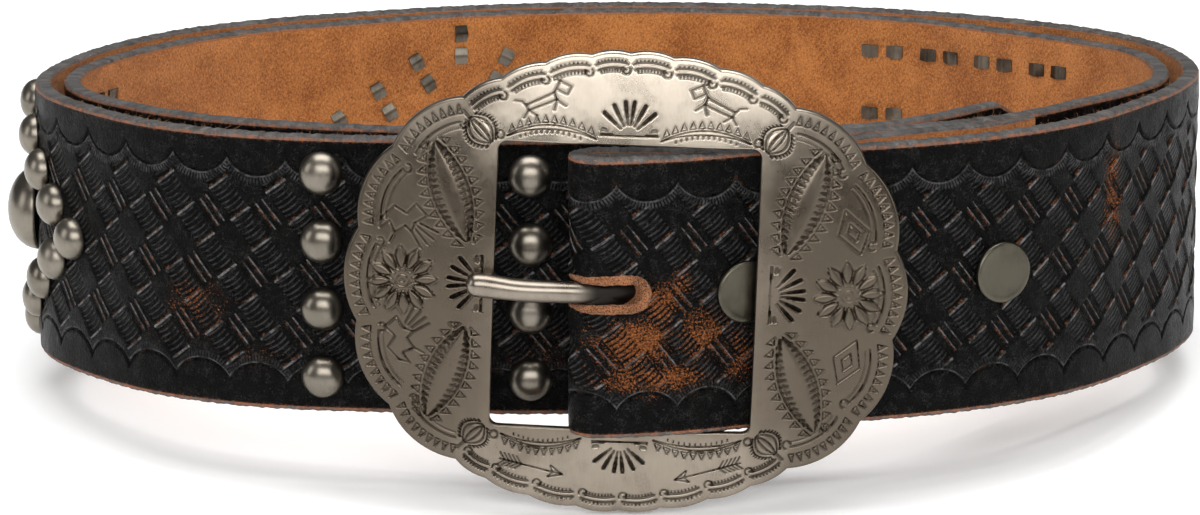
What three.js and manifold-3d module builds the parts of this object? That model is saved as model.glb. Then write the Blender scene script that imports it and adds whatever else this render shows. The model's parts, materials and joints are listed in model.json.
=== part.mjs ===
// Wide tooled leather belt, coiled in two turns on its edge, with an oval buckle.
import * as THREE from 'three';
import { mergeVertices } from 'three/addons/utils/BufferGeometryUtils.js';
import Module from 'manifold-3d';

const wasm = await Module();
wasm.setup();

// Strap, in mm.
const STRAP_W = 50.8;
const STRAP_T = 3.2;
const EDGE_BEVEL = 0.6;
const SKIVE_LENGTH = 14;
const SKIVE_T = 1.3;
const STATION_STEP = 7;
const FOLD_STATION_STEP = 1.8;
const TIP_LENGTH = 30;
const TIP_DROP = 17;
const HOLE_D = 5.6;
const HOLE_COUNT = 5;
const HOLE_PITCH = 25.4;
const LAST_HOLE_FROM_TIP = 78;

// Buckle.
const BAR_R = 2.2;
const BAR_Y = -27;
const PLATE_HALF_W = 49.4;
const PLATE_HALF_H = 41.2;
const PLATE_T = 2.1;
const PLATE_X = 5.3;
const PLATE_Z = STRAP_W / 2 + 0.35;
const PLATE_APEX_Y = -30.4;
const PLATE_DOME = 4.4;
const PLATE_ROLL_DEG = 2.1;
const LOBES_LONG = 8;
const LOBES_SHORT = 5;
const LOBE_RISE = 1.3;
const WINDOW_W = 46.6;
const WINDOW_H = 52.8;
const WINDOW_CORNER_R = 1.6;

// Prong.
const PRONG_R = 2.0;
const PRONG_TIP_X = -23.4;
const PRONG_RISE = 2.6;
const PRONG_LOOP_R = 4.9;
const PRONG_LOOP_H = 4.4;
const SLOT_H = 7.2;
const SLOT_END_X = 8.8;

// Gap kept between parts that touch, and the holes' play.
const GAP = 0.3;

// Studs and flat caps.
const STUD_D = 8;
const STUD_H = 2.6;
const BIG_STUD_D = 15.9;
const BIG_STUD_H = 4.2;
const SQUARE_PITCH = 12.5;
const DIAMOND_ALONG = 6.7;
const DIAMOND_UP = 5.15;
const MOTIF_PITCH = 104;
const CAP_D = 11.3;
const CAP_H = 1.1;
const POST_D = 4.6;
const FLANGE_D = 9;
const FLANGE_T = 0.9;
const CAP_1_X = 25.4;
const CAP_2_X = 71.5;

// Centre line of the strap in plan: the folded-back end, the bend round the bar, two turns, the tip.
const FOLD_R = BAR_R + GAP + STRAP_T / 2;
const foldedEnd = [[78.4, 4.2], [71, -1.0], [63, -4.4], [50, -10.2], [20, -17.9]];
const foldBend = [90, 126, 162, 198, 234, 270].map((a) => [
  FOLD_R * Math.cos((a * Math.PI) / 180),
  BAR_Y + FOLD_R * Math.sin((a * Math.PI) / 180),
]);
const outerTurn = [
  [14, -28.6], [28.5, -23.4], [50, -18.4], [65, -12.8], [78, -5.2], [88, 4.2], [97, 17],
  [105, 31], [109.8, 48], [106.5, 68], [97.5, 82.2], [82, 94.3], [60, 104.4], [30, 110.6],
  [0, 112], [-24, 109], [-47, 102.2], [-66, 94.4], [-80.5, 84.6], [-92.5, 69.5], [-100.3, 52],
  [-102.7, 38], [-99.8, 25], [-91.4, 11.6], [-79.6, -0.8], [-62, -9.4], [-36, -13.4], [-9, -14.4],
];
const innerTurn = [
  [20, -12.0], [50, -5.8], [63, -0.6], [71.4, 3.6], [79.4, 9.8], [87.2, 18.2], [95.2, 27],
  [101.6, 36], [104, 47], [101.2, 63], [93, 73], [79, 84.3], [62, 95.6], [30, 104.6], [0, 105.6],
  [-24, 102.2], [-47, 94], [-66, 85.8], [-79.6, 74.8], [-89.6, 61.6], [-96, 48], [-97.2, 36.6],
  [-93.6, 25.6], [-85, 15.2], [-72, 5.4], [-56, -0.8], [-34, -5.2], [0, -8.6], [30, -6.2],
  [50, -1.8], [62, 6.8], [71, 15.8], [82, 26.6], [91.2, 39],
];

// Lean of the whole coil: it rests on the buckle's rim and the strap's lower edge at the back.
const LEAN_DEG = 6.67;

const leather = new THREE.MeshStandardMaterial({ name: 'leather', color: 0x17120f, roughness: 0.6 });
const silver = new THREE.MeshStandardMaterial({
  name: 'silver', color: 0x9a938a, roughness: 0.38, metalness: 1,
});
const nickel = new THREE.MeshStandardMaterial({
  name: 'nickel', color: 0x77746f, roughness: 0.3, metalness: 1,
});

function toSolid(geometry) {
  const g = geometry.clone();
  g.deleteAttribute('normal');
  g.deleteAttribute('uv');
  const m = mergeVertices(g, 1e-5);
  return new wasm.Manifold(new wasm.Mesh({
    numProp: 3,
    vertProperties: new Float32Array(m.attributes.position.array),
    triVerts: new Uint32Array(m.index.array),
  }));
}

function toGeometry(solid) {
  const mesh = solid.getMesh();
  const g = new THREE.BufferGeometry();
  g.setAttribute('position', new THREE.BufferAttribute(new Float32Array(mesh.vertProperties), 3));
  g.setIndex(new THREE.BufferAttribute(new Uint32Array(mesh.triVerts), 1));
  g.computeVertexNormals();
  return g;
}

function named(name, geometry, material) {
  const mesh = new THREE.Mesh(geometry, material.clone());
  mesh.name = name;
  return mesh;
}

// The centre line as a curve, and stations along it, closer together in the fold.
const planPoints = [...foldedEnd, ...foldBend, ...outerTurn, ...innerTurn];
const centreLine = new THREE.CatmullRomCurve3(
  planPoints.map(([x, y]) => new THREE.Vector3(x, y, 0)), false, 'centripetal',
);
centreLine.arcLengthDivisions = 4000;
const LENGTH = centreLine.getLength();

function stationAt(s) {
  const u = Math.min(Math.max(s / LENGTH, 0), 1);
  const p = centreLine.getPointAt(u);
  const d = centreLine.getTangentAt(u);
  return { p, d, n: new THREE.Vector3(d.y, -d.x, 0) };
}

function lengthWhere(test, from, to) {
  let best = from;
  let score = Infinity;
  for (let s = from; s <= to; s += 0.25) {
    const value = test(stationAt(s).p);
    if (value < score) {
      score = value;
      best = s;
    }
  }
  return best;
}

const barStation = lengthWhere((p) => p.x, 0, 140);
const leftEndStation = lengthWhere((p) => p.x, barStation + 300, barStation + 560);

function strapStations() {
  const list = [0];
  while (list[list.length - 1] < LENGTH - 0.01) {
    const s = list[list.length - 1];
    const inFold = Math.abs(s - barStation) < 12;
    list.push(Math.min(s + (inFold ? FOLD_STATION_STEP : STATION_STEP), LENGTH));
  }
  return list;
}

function halfThickness(s) {
  const k = Math.min(s / SKIVE_LENGTH, 1);
  return (SKIVE_T + (STRAP_T - SKIVE_T) * k) / 2;
}

// Eight-sided cross-section with bevelled corners, swept along the centre line.
function strapBand() {
  const positions = [];
  const index = [];
  const stations = strapStations();
  stations.forEach((s) => {
    const { p, n } = stationAt(s);
    const h = halfThickness(s);
    const b = Math.min(EDGE_BEVEL, h * 0.6);
    const ring = [
      [h, b], [h, STRAP_W - b], [h - b, STRAP_W], [b - h, STRAP_W],
      [-h, STRAP_W - b], [-h, b], [b - h, 0], [h - b, 0],
    ];
    ring.forEach(([across, z]) => positions.push(p.x + n.x * across, p.y + n.y * across, z));
  });
  for (let i = 0; i + 1 < stations.length; i += 1) {
    for (let k = 0; k < 8; k += 1) {
      const a = i * 8 + k;
      const b = i * 8 + ((k + 1) % 8);
      index.push(a, a + 8, b + 8, a, b + 8, b);
    }
  }
  const last = (stations.length - 1) * 8;
  for (let k = 1; k < 7; k += 1) {
    index.push(0, k, k + 1);
    index.push(last, last + k + 1, last + k);
  }
  const g = new THREE.BufferGeometry();
  g.setAttribute('position', new THREE.Float32BufferAttribute(positions, 3));
  g.setIndex(index);
  return g;
}

function boxSolid(x0, x1, y0, y1, z0, z1) {
  const g = new THREE.BoxGeometry(x1 - x0, y1 - y0, z1 - z0);
  g.translate((x0 + x1) / 2, (y0 + y1) / 2, (z0 + z1) / 2);
  return toSolid(g);
}

// A cylinder along the strap's normal at a station, reaching from inner to outer offset.
function borer(s, z, radius, inner, outer, sides) {
  const { p, n } = stationAt(s);
  const g = new THREE.CylinderGeometry(radius, radius, outer - inner, sides);
  g.translate(0, (inner + outer) / 2, 0);
  g.applyQuaternion(new THREE.Quaternion().setFromUnitVectors(new THREE.Vector3(0, 1, 0), n));
  g.translate(p.x, p.y, z);
  return toSolid(g);
}

function prongSlot() {
  const r = SLOT_H / 2;
  const end = new THREE.CylinderGeometry(r, r, 30, 16);
  end.translate(SLOT_END_X - r, BAR_Y, STRAP_W / 2);
  const middle = boxSolid(-12, SLOT_END_X - r, BAR_Y - 15, BAR_Y + 15, STRAP_W / 2 - r, STRAP_W / 2 + r);
  const reach = boxSolid(-20, 20, BAR_Y - 15, BAR_Y + FOLD_R + 4.4, -1, STRAP_W + 1);
  return wasm.Manifold.union(toSolid(end), middle).intersect(reach);
}

// Half of the tip's taper: a wedge beyond the slanted edge, on the top or the bottom.
function tipWedge(side) {
  const { p, d } = stationAt(LENGTH - TIP_LENGTH);
  const end = stationAt(LENGTH).p;
  const run = end.clone().sub(p).length();
  const shape = new THREE.Shape();
  const mid = STRAP_W / 2;
  shape.moveTo(0, side * mid);
  shape.lineTo(run + 4, side * (mid - TIP_DROP * ((run + 4) / run)));
  shape.lineTo(run + 4, side * (mid + 3));
  shape.lineTo(0, side * (mid + 3));
  const g = new THREE.ExtrudeGeometry(shape, { depth: 9, bevelEnabled: false });
  g.translate(0, 0, -4.5);
  g.rotateX(Math.PI / 2);
  const along = end.clone().sub(p);
  g.rotateZ(Math.atan2(along.y, along.x));
  g.translate(p.x, p.y, mid);
  return toSolid(g);
}

function capStation(x) {
  return lengthWhere((p) => Math.abs(p.x - x), barStation + 8, barStation + 110);
}

// Where a cap's axis, drawn inwards from the outer layer, meets the folded-back end.
function capReach(x) {
  const { p, n } = stationAt(capStation(x));
  let reach = 0;
  let score = Infinity;
  for (let s = 2; s < barStation - 6; s += 0.5) {
    const q = stationAt(s).p.clone().sub(p);
    const along = -q.dot(n);
    const off = q.clone().addScaledVector(n, along).length();
    if (off < score) {
      score = off;
      reach = along;
    }
  }
  return reach;
}

function strap() {
  let body = toSolid(strapBand());
  body = body.subtract(prongSlot());
  [CAP_1_X, CAP_2_X].forEach((x) => {
    const s = capStation(x);
    const back = capReach(x) + STRAP_T / 2;
    const z = STRAP_W / 2;
    body = body.subtract(borer(s, z, POST_D / 2 + GAP, -back - 1, 4, 12));
    body = body.subtract(borer(s, z, FLANGE_D / 2 + GAP, -back - 1.4, -back + FLANGE_T + 0.5, 16));
  });
  for (let i = 0; i < HOLE_COUNT; i += 1) {
    const s = LENGTH - LAST_HOLE_FROM_TIP - i * HOLE_PITCH;
    body = body.subtract(borer(s, STRAP_W / 2, HOLE_D / 2, -3, 3, 12));
  }
  body = body.subtract(tipWedge(1));
  body = body.subtract(tipWedge(-1));
  return named('strap', toGeometry(body), leather);
}

// Distance of the oval's rim at an angle, with its scallops.
function rimPoint(i, perLobe) {
  const lobes = LOBES_LONG * 2 + LOBES_SHORT * 2;
  const f = i / perLobe;
  const lobe = Math.floor(f) % lobes;
  const t = f - Math.floor(f);
  const angle = lobeStart(lobe) * (1 - t) + lobeStart(lobe + 1) * t;
  const rise = LOBE_RISE * (Math.sin(Math.PI * t) ** 0.6 - 0.5);
  const c = Math.cos(angle);
  const s = Math.sin(angle);
  return [(PLATE_HALF_W + rise) * c, (PLATE_HALF_H + rise) * s];
}

// Scallop borders: five lobes on each short side, eight along the top and the bottom.
function lobeStart(k) {
  const half = (33 * Math.PI) / 180;
  const round = Math.floor(k / 26) * Math.PI * 2;
  const j = k % 26;
  if (j <= 5) return round - half + (2 * half * j) / 5;
  if (j <= 13) return round + half + ((Math.PI - 2 * half) * (j - 5)) / 8;
  if (j <= 18) return round + Math.PI - half + (2 * half * (j - 13)) / 5;
  return round + Math.PI + half + ((Math.PI - 2 * half) * (j - 18)) / 8;
}

// Point of the window's rounded rectangle in the direction of an angle.
function windowPoint(angle) {
  const hw = WINDOW_W / 2;
  const hh = WINDOW_H / 2;
  const c = Math.cos(angle);
  const s = Math.sin(angle);
  const k = Math.min(hw / Math.max(Math.abs(c), 1e-6), hh / Math.max(Math.abs(s), 1e-6));
  let x = c * k;
  let z = s * k;
  const r = WINDOW_CORNER_R;
  const ox = Math.abs(x) - (hw - r);
  const oz = Math.abs(z) - (hh - r);
  if (ox > 0 && oz > 0) {
    const d = Math.hypot(ox, oz);
    x = Math.sign(x) * (hw - r + (ox / d) * r);
    z = Math.sign(z) * (hh - r + (oz / d) * r);
  }
  return [x, z];
}

function plateFront(x, z) {
  return PLATE_APEX_Y + PLATE_DOME * ((x / PLATE_HALF_W) ** 2 + (z / PLATE_HALF_H) ** 2);
}

// Domed oval plate between the window and the scalloped rim, front and back on one grid.
function plateGeometry() {
  const perLobe = 5;
  const count = (LOBES_LONG * 2 + LOBES_SHORT * 2) * perLobe;
  const steps = [0, 0.5, 0.93, 1];
  const positions = [];
  const index = [];
  for (let i = 0; i < count; i += 1) {
    const rim = rimPoint(i, perLobe);
    const win = windowPoint(Math.atan2(rim[1], rim[0]));
    const ring = steps.map((t) => [win[0] + (rim[0] - win[0]) * t, win[1] + (rim[1] - win[1]) * t]);
    ring.forEach(([x, z], k) => {
      const drop = k === steps.length - 1 ? 0.6 : 0;
      positions.push(x, plateFront(x, z) + drop, z);
    });
    ring.slice().reverse().forEach(([x, z]) => positions.push(x, plateFront(x, z) + PLATE_T, z));
  }
  const rows = steps.length * 2;
  for (let i = 0; i < count; i += 1) {
    const j = (i + 1) % count;
    for (let k = 0; k < rows; k += 1) {
      const m = (k + 1) % rows;
      index.push(i * rows + k, i * rows + m, j * rows + m, i * rows + k, j * rows + m, j * rows + k);
    }
  }
  const g = new THREE.BufferGeometry();
  g.setAttribute('position', new THREE.Float32BufferAttribute(positions, 3));
  g.setIndex(index);
  g.rotateY((PLATE_ROLL_DEG * Math.PI) / 180);
  g.translate(PLATE_X, 0, PLATE_Z);
  return g;
}

function buckle() {
  const length = WINDOW_H + 3;
  const bar = new THREE.CylinderGeometry(BAR_R, BAR_R, length, 20);
  bar.rotateX(Math.PI / 2);
  bar.translate(0, BAR_Y, PLATE_Z);
  const body = toSolid(plateGeometry()).add(toSolid(bar));
  return named('buckle', toGeometry(body), silver);
}

// Loop round the bar and a shank that ends, rounded, on the frame.
function prong() {
  const z = STRAP_W / 2;
  const ring = new THREE.Shape();
  ring.absarc(0, 0, PRONG_LOOP_R, 0, Math.PI * 2);
  const hole = new THREE.Path();
  hole.absarc(0, 0, BAR_R + GAP, 0, Math.PI * 2, true);
  ring.holes.push(hole);
  const loop = new THREE.ExtrudeGeometry(ring, {
    depth: PRONG_LOOP_H, bevelEnabled: false, curveSegments: 9,
  });
  loop.translate(0, BAR_Y, z - PRONG_LOOP_H / 2);
  const reach = PRONG_TIP_X - PLATE_X;
  const tipY = plateFront(reach, 0) - PRONG_R - 0.25;
  const frameY = plateFront(-WINDOW_W / 2, 0) - PRONG_R - 0.35;
  const path = new THREE.CatmullRomCurve3([
    new THREE.Vector3(0, BAR_Y - PRONG_LOOP_R + PRONG_R, z),
    new THREE.Vector3(-6, BAR_Y - PRONG_LOOP_R + PRONG_R - 2.4, z + PRONG_RISE * 0.28),
    new THREE.Vector3(-14, frameY - 0.6, z + PRONG_RISE * 0.62),
    new THREE.Vector3(PRONG_TIP_X, tipY, z + PRONG_RISE),
  ]);
  const section = new THREE.Shape();
  section.absarc(0, 0, PRONG_R, 0, Math.PI * 2);
  const shank = new THREE.ExtrudeGeometry(section, {
    steps: 8, curveSegments: 6, bevelEnabled: false, extrudePath: path,
  });
  const tip = new THREE.SphereGeometry(PRONG_R * 1.02, 14, 8);
  tip.translate(PRONG_TIP_X, tipY, z + PRONG_RISE);
  const play = new THREE.CylinderGeometry(BAR_R + GAP, BAR_R + GAP, 30, 24);
  play.rotateX(Math.PI / 2);
  play.translate(0, BAR_Y, z);
  const body = toSolid(loop).add(toSolid(shank)).add(toSolid(tip)).subtract(toSolid(play));
  return named('prong', toGeometry(body), silver);
}

// Flat cap with its post through both layers and a flange let into the folded-back end.
function flatCap(name, x) {
  const { p, n } = stationAt(capStation(x));
  const r = CAP_D / 2;
  const back = -(capReach(x) + STRAP_T / 2);
  const lift = STRAP_T / 2 + GAP + 0.15;
  const profile = [
    [0, back + 0.15], [FLANGE_D / 2, back + 0.15], [FLANGE_D / 2, back + 0.15 + FLANGE_T],
    [POST_D / 2, back + 0.15 + FLANGE_T], [POST_D / 2, lift], [r, lift], [r, lift + CAP_H - 0.6],
    [r - 0.6, lift + CAP_H], [0, lift + CAP_H],
  ].map(([radius, y]) => new THREE.Vector2(radius, y));
  const mesh = named(name, new THREE.LatheGeometry(profile, 18), nickel);
  mesh.quaternion.setFromUnitVectors(new THREE.Vector3(0, 1, 0), n);
  mesh.position.set(p.x, p.y, STRAP_W / 2);
  return mesh;
}

function domeGeometry(diameter, height, sides, rings) {
  const r = diameter / 2;
  const profile = [new THREE.Vector2(0, 0)];
  for (let i = 0; i < rings; i += 1) {
    const a = ((Math.PI / 2) * i) / rings;
    profile.push(new THREE.Vector2(r * Math.cos(a), height * Math.sin(a)));
  }
  profile.push(new THREE.Vector2(0, height));
  return new THREE.LatheGeometry(profile, sides);
}

// Offsets along and up the strap of a square outline, four studs to a side, in order round it.
function squareMotif() {
  const c = [-1.5, -0.5, 0.5, 1.5];
  const ring = [
    ...[0, 1, 2].map((i) => [c[i], 1.5]), ...[3, 2, 1].map((i) => [1.5, c[i]]),
    ...[3, 2, 1].map((i) => [c[i], -1.5]), ...[0, 1, 2].map((i) => [-1.5, c[i]]),
  ];
  return ring.map(([u, v]) => [u * SQUARE_PITCH, v * SQUARE_PITCH]);
}

// Offsets of a diamond outline, four steps to a side, in order round it.
function diamondMotif() {
  const ring = [];
  for (let i = 0; i < 16; i += 1) {
    const q = Math.floor(i / 4);
    const k = i % 4;
    const corner = [[4 - k, k], [-k, 4 - k], [k - 4, -k], [k, k - 4]][q];
    ring.push([corner[0] * DIAMOND_ALONG, corner[1] * DIAMOND_UP]);
  }
  return ring;
}

function placeOnLeather(object, s, z, lift) {
  const { p, n } = stationAt(s);
  const across = STRAP_T / 2 + lift;
  const turn = new THREE.Quaternion().setFromUnitVectors(new THREE.Vector3(0, 1, 0), n);
  const at = new THREE.Vector3(p.x + n.x * across, p.y + n.y * across, z);
  if (object.isMesh) {
    object.quaternion.copy(turn);
    object.position.copy(at);
  } else {
    object.applyQuaternion(turn);
    object.translate(at.x, at.y, at.z);
  }
  return object;
}

function separateStuds(prefix, s0, motif, bigInMiddle) {
  const group = new THREE.Group();
  group.name = `${prefix}s`;
  motif.forEach(([u, v], i) => {
    const mesh = named(`${prefix}_${i + 1}`, domeGeometry(STUD_D, STUD_H, 10, 3), nickel);
    group.add(placeOnLeather(mesh, s0 + u, STRAP_W / 2 + v, GAP));
  });
  if (bigInMiddle) {
    const mesh = named(`${prefix}_big`, domeGeometry(BIG_STUD_D, BIG_STUD_H, 16, 4), nickel);
    group.add(placeOnLeather(mesh, s0, STRAP_W / 2, GAP + 0.2));
  }
  return group;
}

// Thin bar from one stud of a motif to another, just clear of the leather.
function web(s0, a, b) {
  const from = stationAt(s0 + a[0]);
  const to = stationAt(s0 + b[0]);
  const lift = STRAP_T / 2 + 0.6;
  const p = new THREE.Vector3(from.p.x + from.n.x * lift, from.p.y + from.n.y * lift, STRAP_W / 2 + a[1]);
  const q = new THREE.Vector3(to.p.x + to.n.x * lift, to.p.y + to.n.y * lift, STRAP_W / 2 + b[1]);
  const along = q.clone().sub(p);
  const length = along.length();
  along.normalize();
  const up = from.n.clone().addScaledVector(along, -from.n.dot(along)).normalize();
  const side = along.clone().cross(up);
  const g = new THREE.BoxGeometry(length, 0.5, 1.6);
  g.translate(length / 2, 0.25, 0);
  g.applyMatrix4(new THREE.Matrix4().makeBasis(along, up, side));
  g.translate(p.x, p.y, p.z);
  return toSolid(g);
}

function joinedStuds(name, s0, motif, bigInMiddle) {
  const parts = motif.map(([u, v]) => toSolid(
    placeOnLeather(domeGeometry(STUD_D, STUD_H, 8, 2), s0 + u, STRAP_W / 2 + v, GAP),
  ));
  motif.forEach((a, i) => parts.push(web(s0, a, motif[(i + 1) % motif.length])));
  if (bigInMiddle) {
    const dome = domeGeometry(BIG_STUD_D, BIG_STUD_H, 12, 3);
    parts.push(toSolid(placeOnLeather(dome, s0, STRAP_W / 2, GAP + 0.2)));
    parts.push(web(s0, [0, 0], motif[2]));
  }
  return named(name, toGeometry(wasm.Manifold.union(parts)), nickel);
}

const squareStation = leftEndStation + 97;
const coil = new THREE.Group();
coil.name = 'coil';
coil.add(strap());
coil.add(buckle());
coil.add(prong());
coil.add(flatCap('cap_left', CAP_1_X));
coil.add(flatCap('cap_right', CAP_2_X));
coil.add(separateStuds('square_stud', squareStation, squareMotif(), false));
coil.add(separateStuds('diamond_stud', leftEndStation, diamondMotif(), true));
coil.add(joinedStuds('back_square_studs', leftEndStation - MOTIF_PITCH, squareMotif(), false));
coil.add(joinedStuds('back_diamond_studs', leftEndStation - 2 * MOTIF_PITCH, diamondMotif(), true));
coil.rotation.x = (-LEAN_DEG * Math.PI) / 180;

const belt = new THREE.Group();
belt.name = 'belt';
belt.add(coil);
coil.updateMatrixWorld(true);
const box = new THREE.Box3().setFromObject(belt, true);
coil.position.set(-(box.min.x + box.max.x) / 2, -(box.min.y + box.max.y) / 2, -box.min.z);

export default belt;
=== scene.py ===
"""Looks of a coiled, studded leather belt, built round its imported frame.

Sizes are in mm in the belt's own frame: x to the right along the buckle, y to the back, z up the strap from
its lower edge. The coil leans a little, and to_row() turns that frame into the row frame in metres.
"""

import json
import math

import bpy
import numpy as np
from bpy.props import FloatProperty, FloatVectorProperty, IntProperty, PointerProperty
from bpy.types import Operator, Panel, PropertyGroup
from mathutils import Matrix, Vector


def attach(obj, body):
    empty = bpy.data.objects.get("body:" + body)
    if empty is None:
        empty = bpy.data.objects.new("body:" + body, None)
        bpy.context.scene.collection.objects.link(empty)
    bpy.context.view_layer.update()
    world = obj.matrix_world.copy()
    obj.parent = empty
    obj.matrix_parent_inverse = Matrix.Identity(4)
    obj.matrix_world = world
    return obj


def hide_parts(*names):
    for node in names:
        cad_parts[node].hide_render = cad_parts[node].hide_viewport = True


bl_info = {
    "name": "Studded Belt Looks",
    "version": (1, 0, 0),
    "blender": (4, 5, 0),
    "location": "View3D > Sidebar > Belt",
    "description": "Tooled leather, stamped silver and studs for a coiled belt",
    "category": "Object",
}

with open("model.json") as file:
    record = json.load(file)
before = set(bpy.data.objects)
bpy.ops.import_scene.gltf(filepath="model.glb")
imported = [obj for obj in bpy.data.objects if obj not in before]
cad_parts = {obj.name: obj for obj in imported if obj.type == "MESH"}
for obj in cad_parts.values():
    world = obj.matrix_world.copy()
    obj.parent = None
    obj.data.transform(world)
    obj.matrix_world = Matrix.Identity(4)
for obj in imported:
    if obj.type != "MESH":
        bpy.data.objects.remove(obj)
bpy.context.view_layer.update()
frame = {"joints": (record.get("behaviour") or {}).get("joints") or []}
MM = 0.001

# The strap and its route in plan, as in the solids.
STRAP_W = 50.8
STRAP_T = 3.2
MID = STRAP_W / 2
SKIVE_LENGTH = 14
SKIVE_T = 1.3
TIP_LENGTH = 30
TIP_DROP = 17
TIP_ROUND = 5
BELT_HOLES = 5
BELT_HOLE_D = 5.6
BELT_HOLE_PITCH = 25.4
LAST_HOLE_FROM_TIP = 78
BAR_R = 2.2
BAR_Y = -27
FOLD_R = BAR_R + 0.3 + STRAP_T / 2
FOLDED_END = [[78.4, 4.2], [71, -1.0], [63, -4.4], [50, -10.6], [35, -17.9], [20, -23.0]]
FOLD_BEND = [
    [FOLD_R * math.cos(math.radians(a)), BAR_Y + FOLD_R * math.sin(math.radians(a))]
    for a in (90, 126, 162, 198, 234, 270)
]
OUTER_TURN = [
    [14, -28.6], [28.5, -23.4], [50, -18.4], [65, -12.8], [78, -5.2], [88, 4.2], [97, 17], [105, 31],
    [109.8, 48], [106.5, 68], [97.5, 82.2], [82, 94.3], [60, 104.4], [30, 110.6], [0, 112], [-24, 109],
    [-47, 102.2], [-66, 94.4], [-80.5, 84.6], [-92.5, 69.5], [-100.3, 52], [-102.7, 38], [-99.8, 25],
    [-91.4, 11.6], [-79.6, -0.8], [-62, -9.4], [-36, -13.4], [-9, -14.4],
]
INNER_TURN = [
    [20, -12.0], [50, -5.8], [63, -0.6], [71.4, 3.6], [79.4, 9.8], [87.2, 18.2], [95.2, 27], [101.6, 36],
    [104, 47], [101.2, 63], [93, 73], [79, 84.3], [62, 95.6], [30, 104.6], [0, 105.6], [-24, 102.2],
    [-47, 94], [-66, 85.8], [-79.6, 74.8], [-89.6, 61.6], [-96, 48], [-97.2, 36.6], [-93.6, 25.6],
    [-85, 15.2], [-72, 5.4], [-56, -0.8], [-34, -5.2], [0, -8.6], [30, -6.2], [50, -1.8], [62, 6.8],
    [71, 15.8], [82, 26.6], [91.2, 39],
]
# The loop lies a little wider here than in the solids: by how much, and over which stretch of x.
WIDER_RIGHT = 1.6
WIDER_LEFT = 1.3
WIDER_FROM_X = 70
WIDER_OVER_RIGHT = 35
WIDER_OVER_LEFT = 30

# The buckle's plate and the prong, close to the solids and fitted to the photograph.
PLATE_HALF_W = 49.8
PLATE_HALF_H = 41.7
PLATE_T = 2.1
PLATE_X = 4.7
PLATE_Z = MID + 1.1
PLATE_APEX_Y = -30.4
PLATE_DOME = 4.4
PLATE_ROLL = math.radians(2.1)
LOBE_BOW_LONG = 0.085
LOBE_BOW_SHORT = 0.14
LOBES_LONG = 8
LOBES_SHORT = 5
LOBES = 2 * (LOBES_LONG + LOBES_SHORT)
WINDOW_W = 46.4
WINDOW_H = 51.8
WINDOW_SHIFT = (-0.3, -0.1)
WINDOW_CORNER_R = 1.6
PRONG_R = 2.0
PRONG_TIP_X = -23.4
PRONG_RISE = 2.6
PRONG_LOOP_R = 4.9
PRONG_LOOP_H = 4.4
SLOT_END_X = 8.8
SLOT_LIFT = 0.85

# Studs and flat caps. The studs are a little taller than in the solids.
STUD_D = 8
STUD_H = 3.5
BIG_STUD_D = 15.9
BIG_STUD_H = 6.2
SQUARE_PITCH = 12.5
SQUARE_PITCH_ALONG = 12.44
DIAMOND_ALONG = 6.7
DIAMOND_UP = 5.15
DIAMOND_SHIFT = -2.5
MOTIF_PITCH = 104
SQUARE_FROM_LEFT_END = 98.9
CAP_D = 11.3
CAP_XS = (25.4, 71.5)

# Tooling of the grain side. The weave's places repeat by about WEAVE_STEP along the strap, and by WEAVE_DROP
# from row to row.
WEAVE_STEP = 10.7
WEAVE_DROP = (-2.7, -10.8)
WEAVE_ROW_Z = 25.2
WEAVE_AT_X = 13.5
WEAVE_BEFORE_SQUARE = 31.2
GROOVE_DIRECTION = math.radians(-52)
BLOCK_HALF_ALONG = 3.3
BLOCK_HALF_ACROSS = 2.15
RIB_BLOCKS_ACROSS = (-4.2, 4.4)
SCALLOP_PITCH = 11.0
SCALLOP_AT_X = 13.4
SCALLOP_BEFORE_SQUARE = 36.0
SCALLOP_R = 6.0
SCALLOP_CENTRE_IN = 1.5
SCALLOP_CUSP_IN = 3.6
SCALLOP_LOWER_UP = 0.7

# The photograph's viewing angle, from its perspective and the strap's edges.
CAMERA_DISTANCE = 1100
CAMERA_ELEVATION = math.radians(13.4)
CAMERA_FOCAL_PX = 6050
IMAGE_W = 1200
SENSOR = 36

# Belt frame to row frame, from the prong's hinge, which is on the bar at the strap's middle.
HINGE = frame["joints"][0]
UP = np.array(HINGE["axis"]) / np.linalg.norm(HINGE["axis"])
LEAN = np.array([[1, 0, 0], [0, UP[2], UP[1]], [0, -UP[1], UP[2]]])
ORIGIN = np.array(HINGE["pos_m"]) - LEAN @ np.array([0, BAR_Y, MID]) * MM


def to_row(points):
    return np.asarray(points, float) @ LEAN.T * MM + ORIGIN


def turned(directions):
    return np.asarray(directions, float) @ LEAN.T


def smooth(x):
    x = np.clip(x, 0, 1)
    return x * x * (3 - 2 * x)


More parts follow.
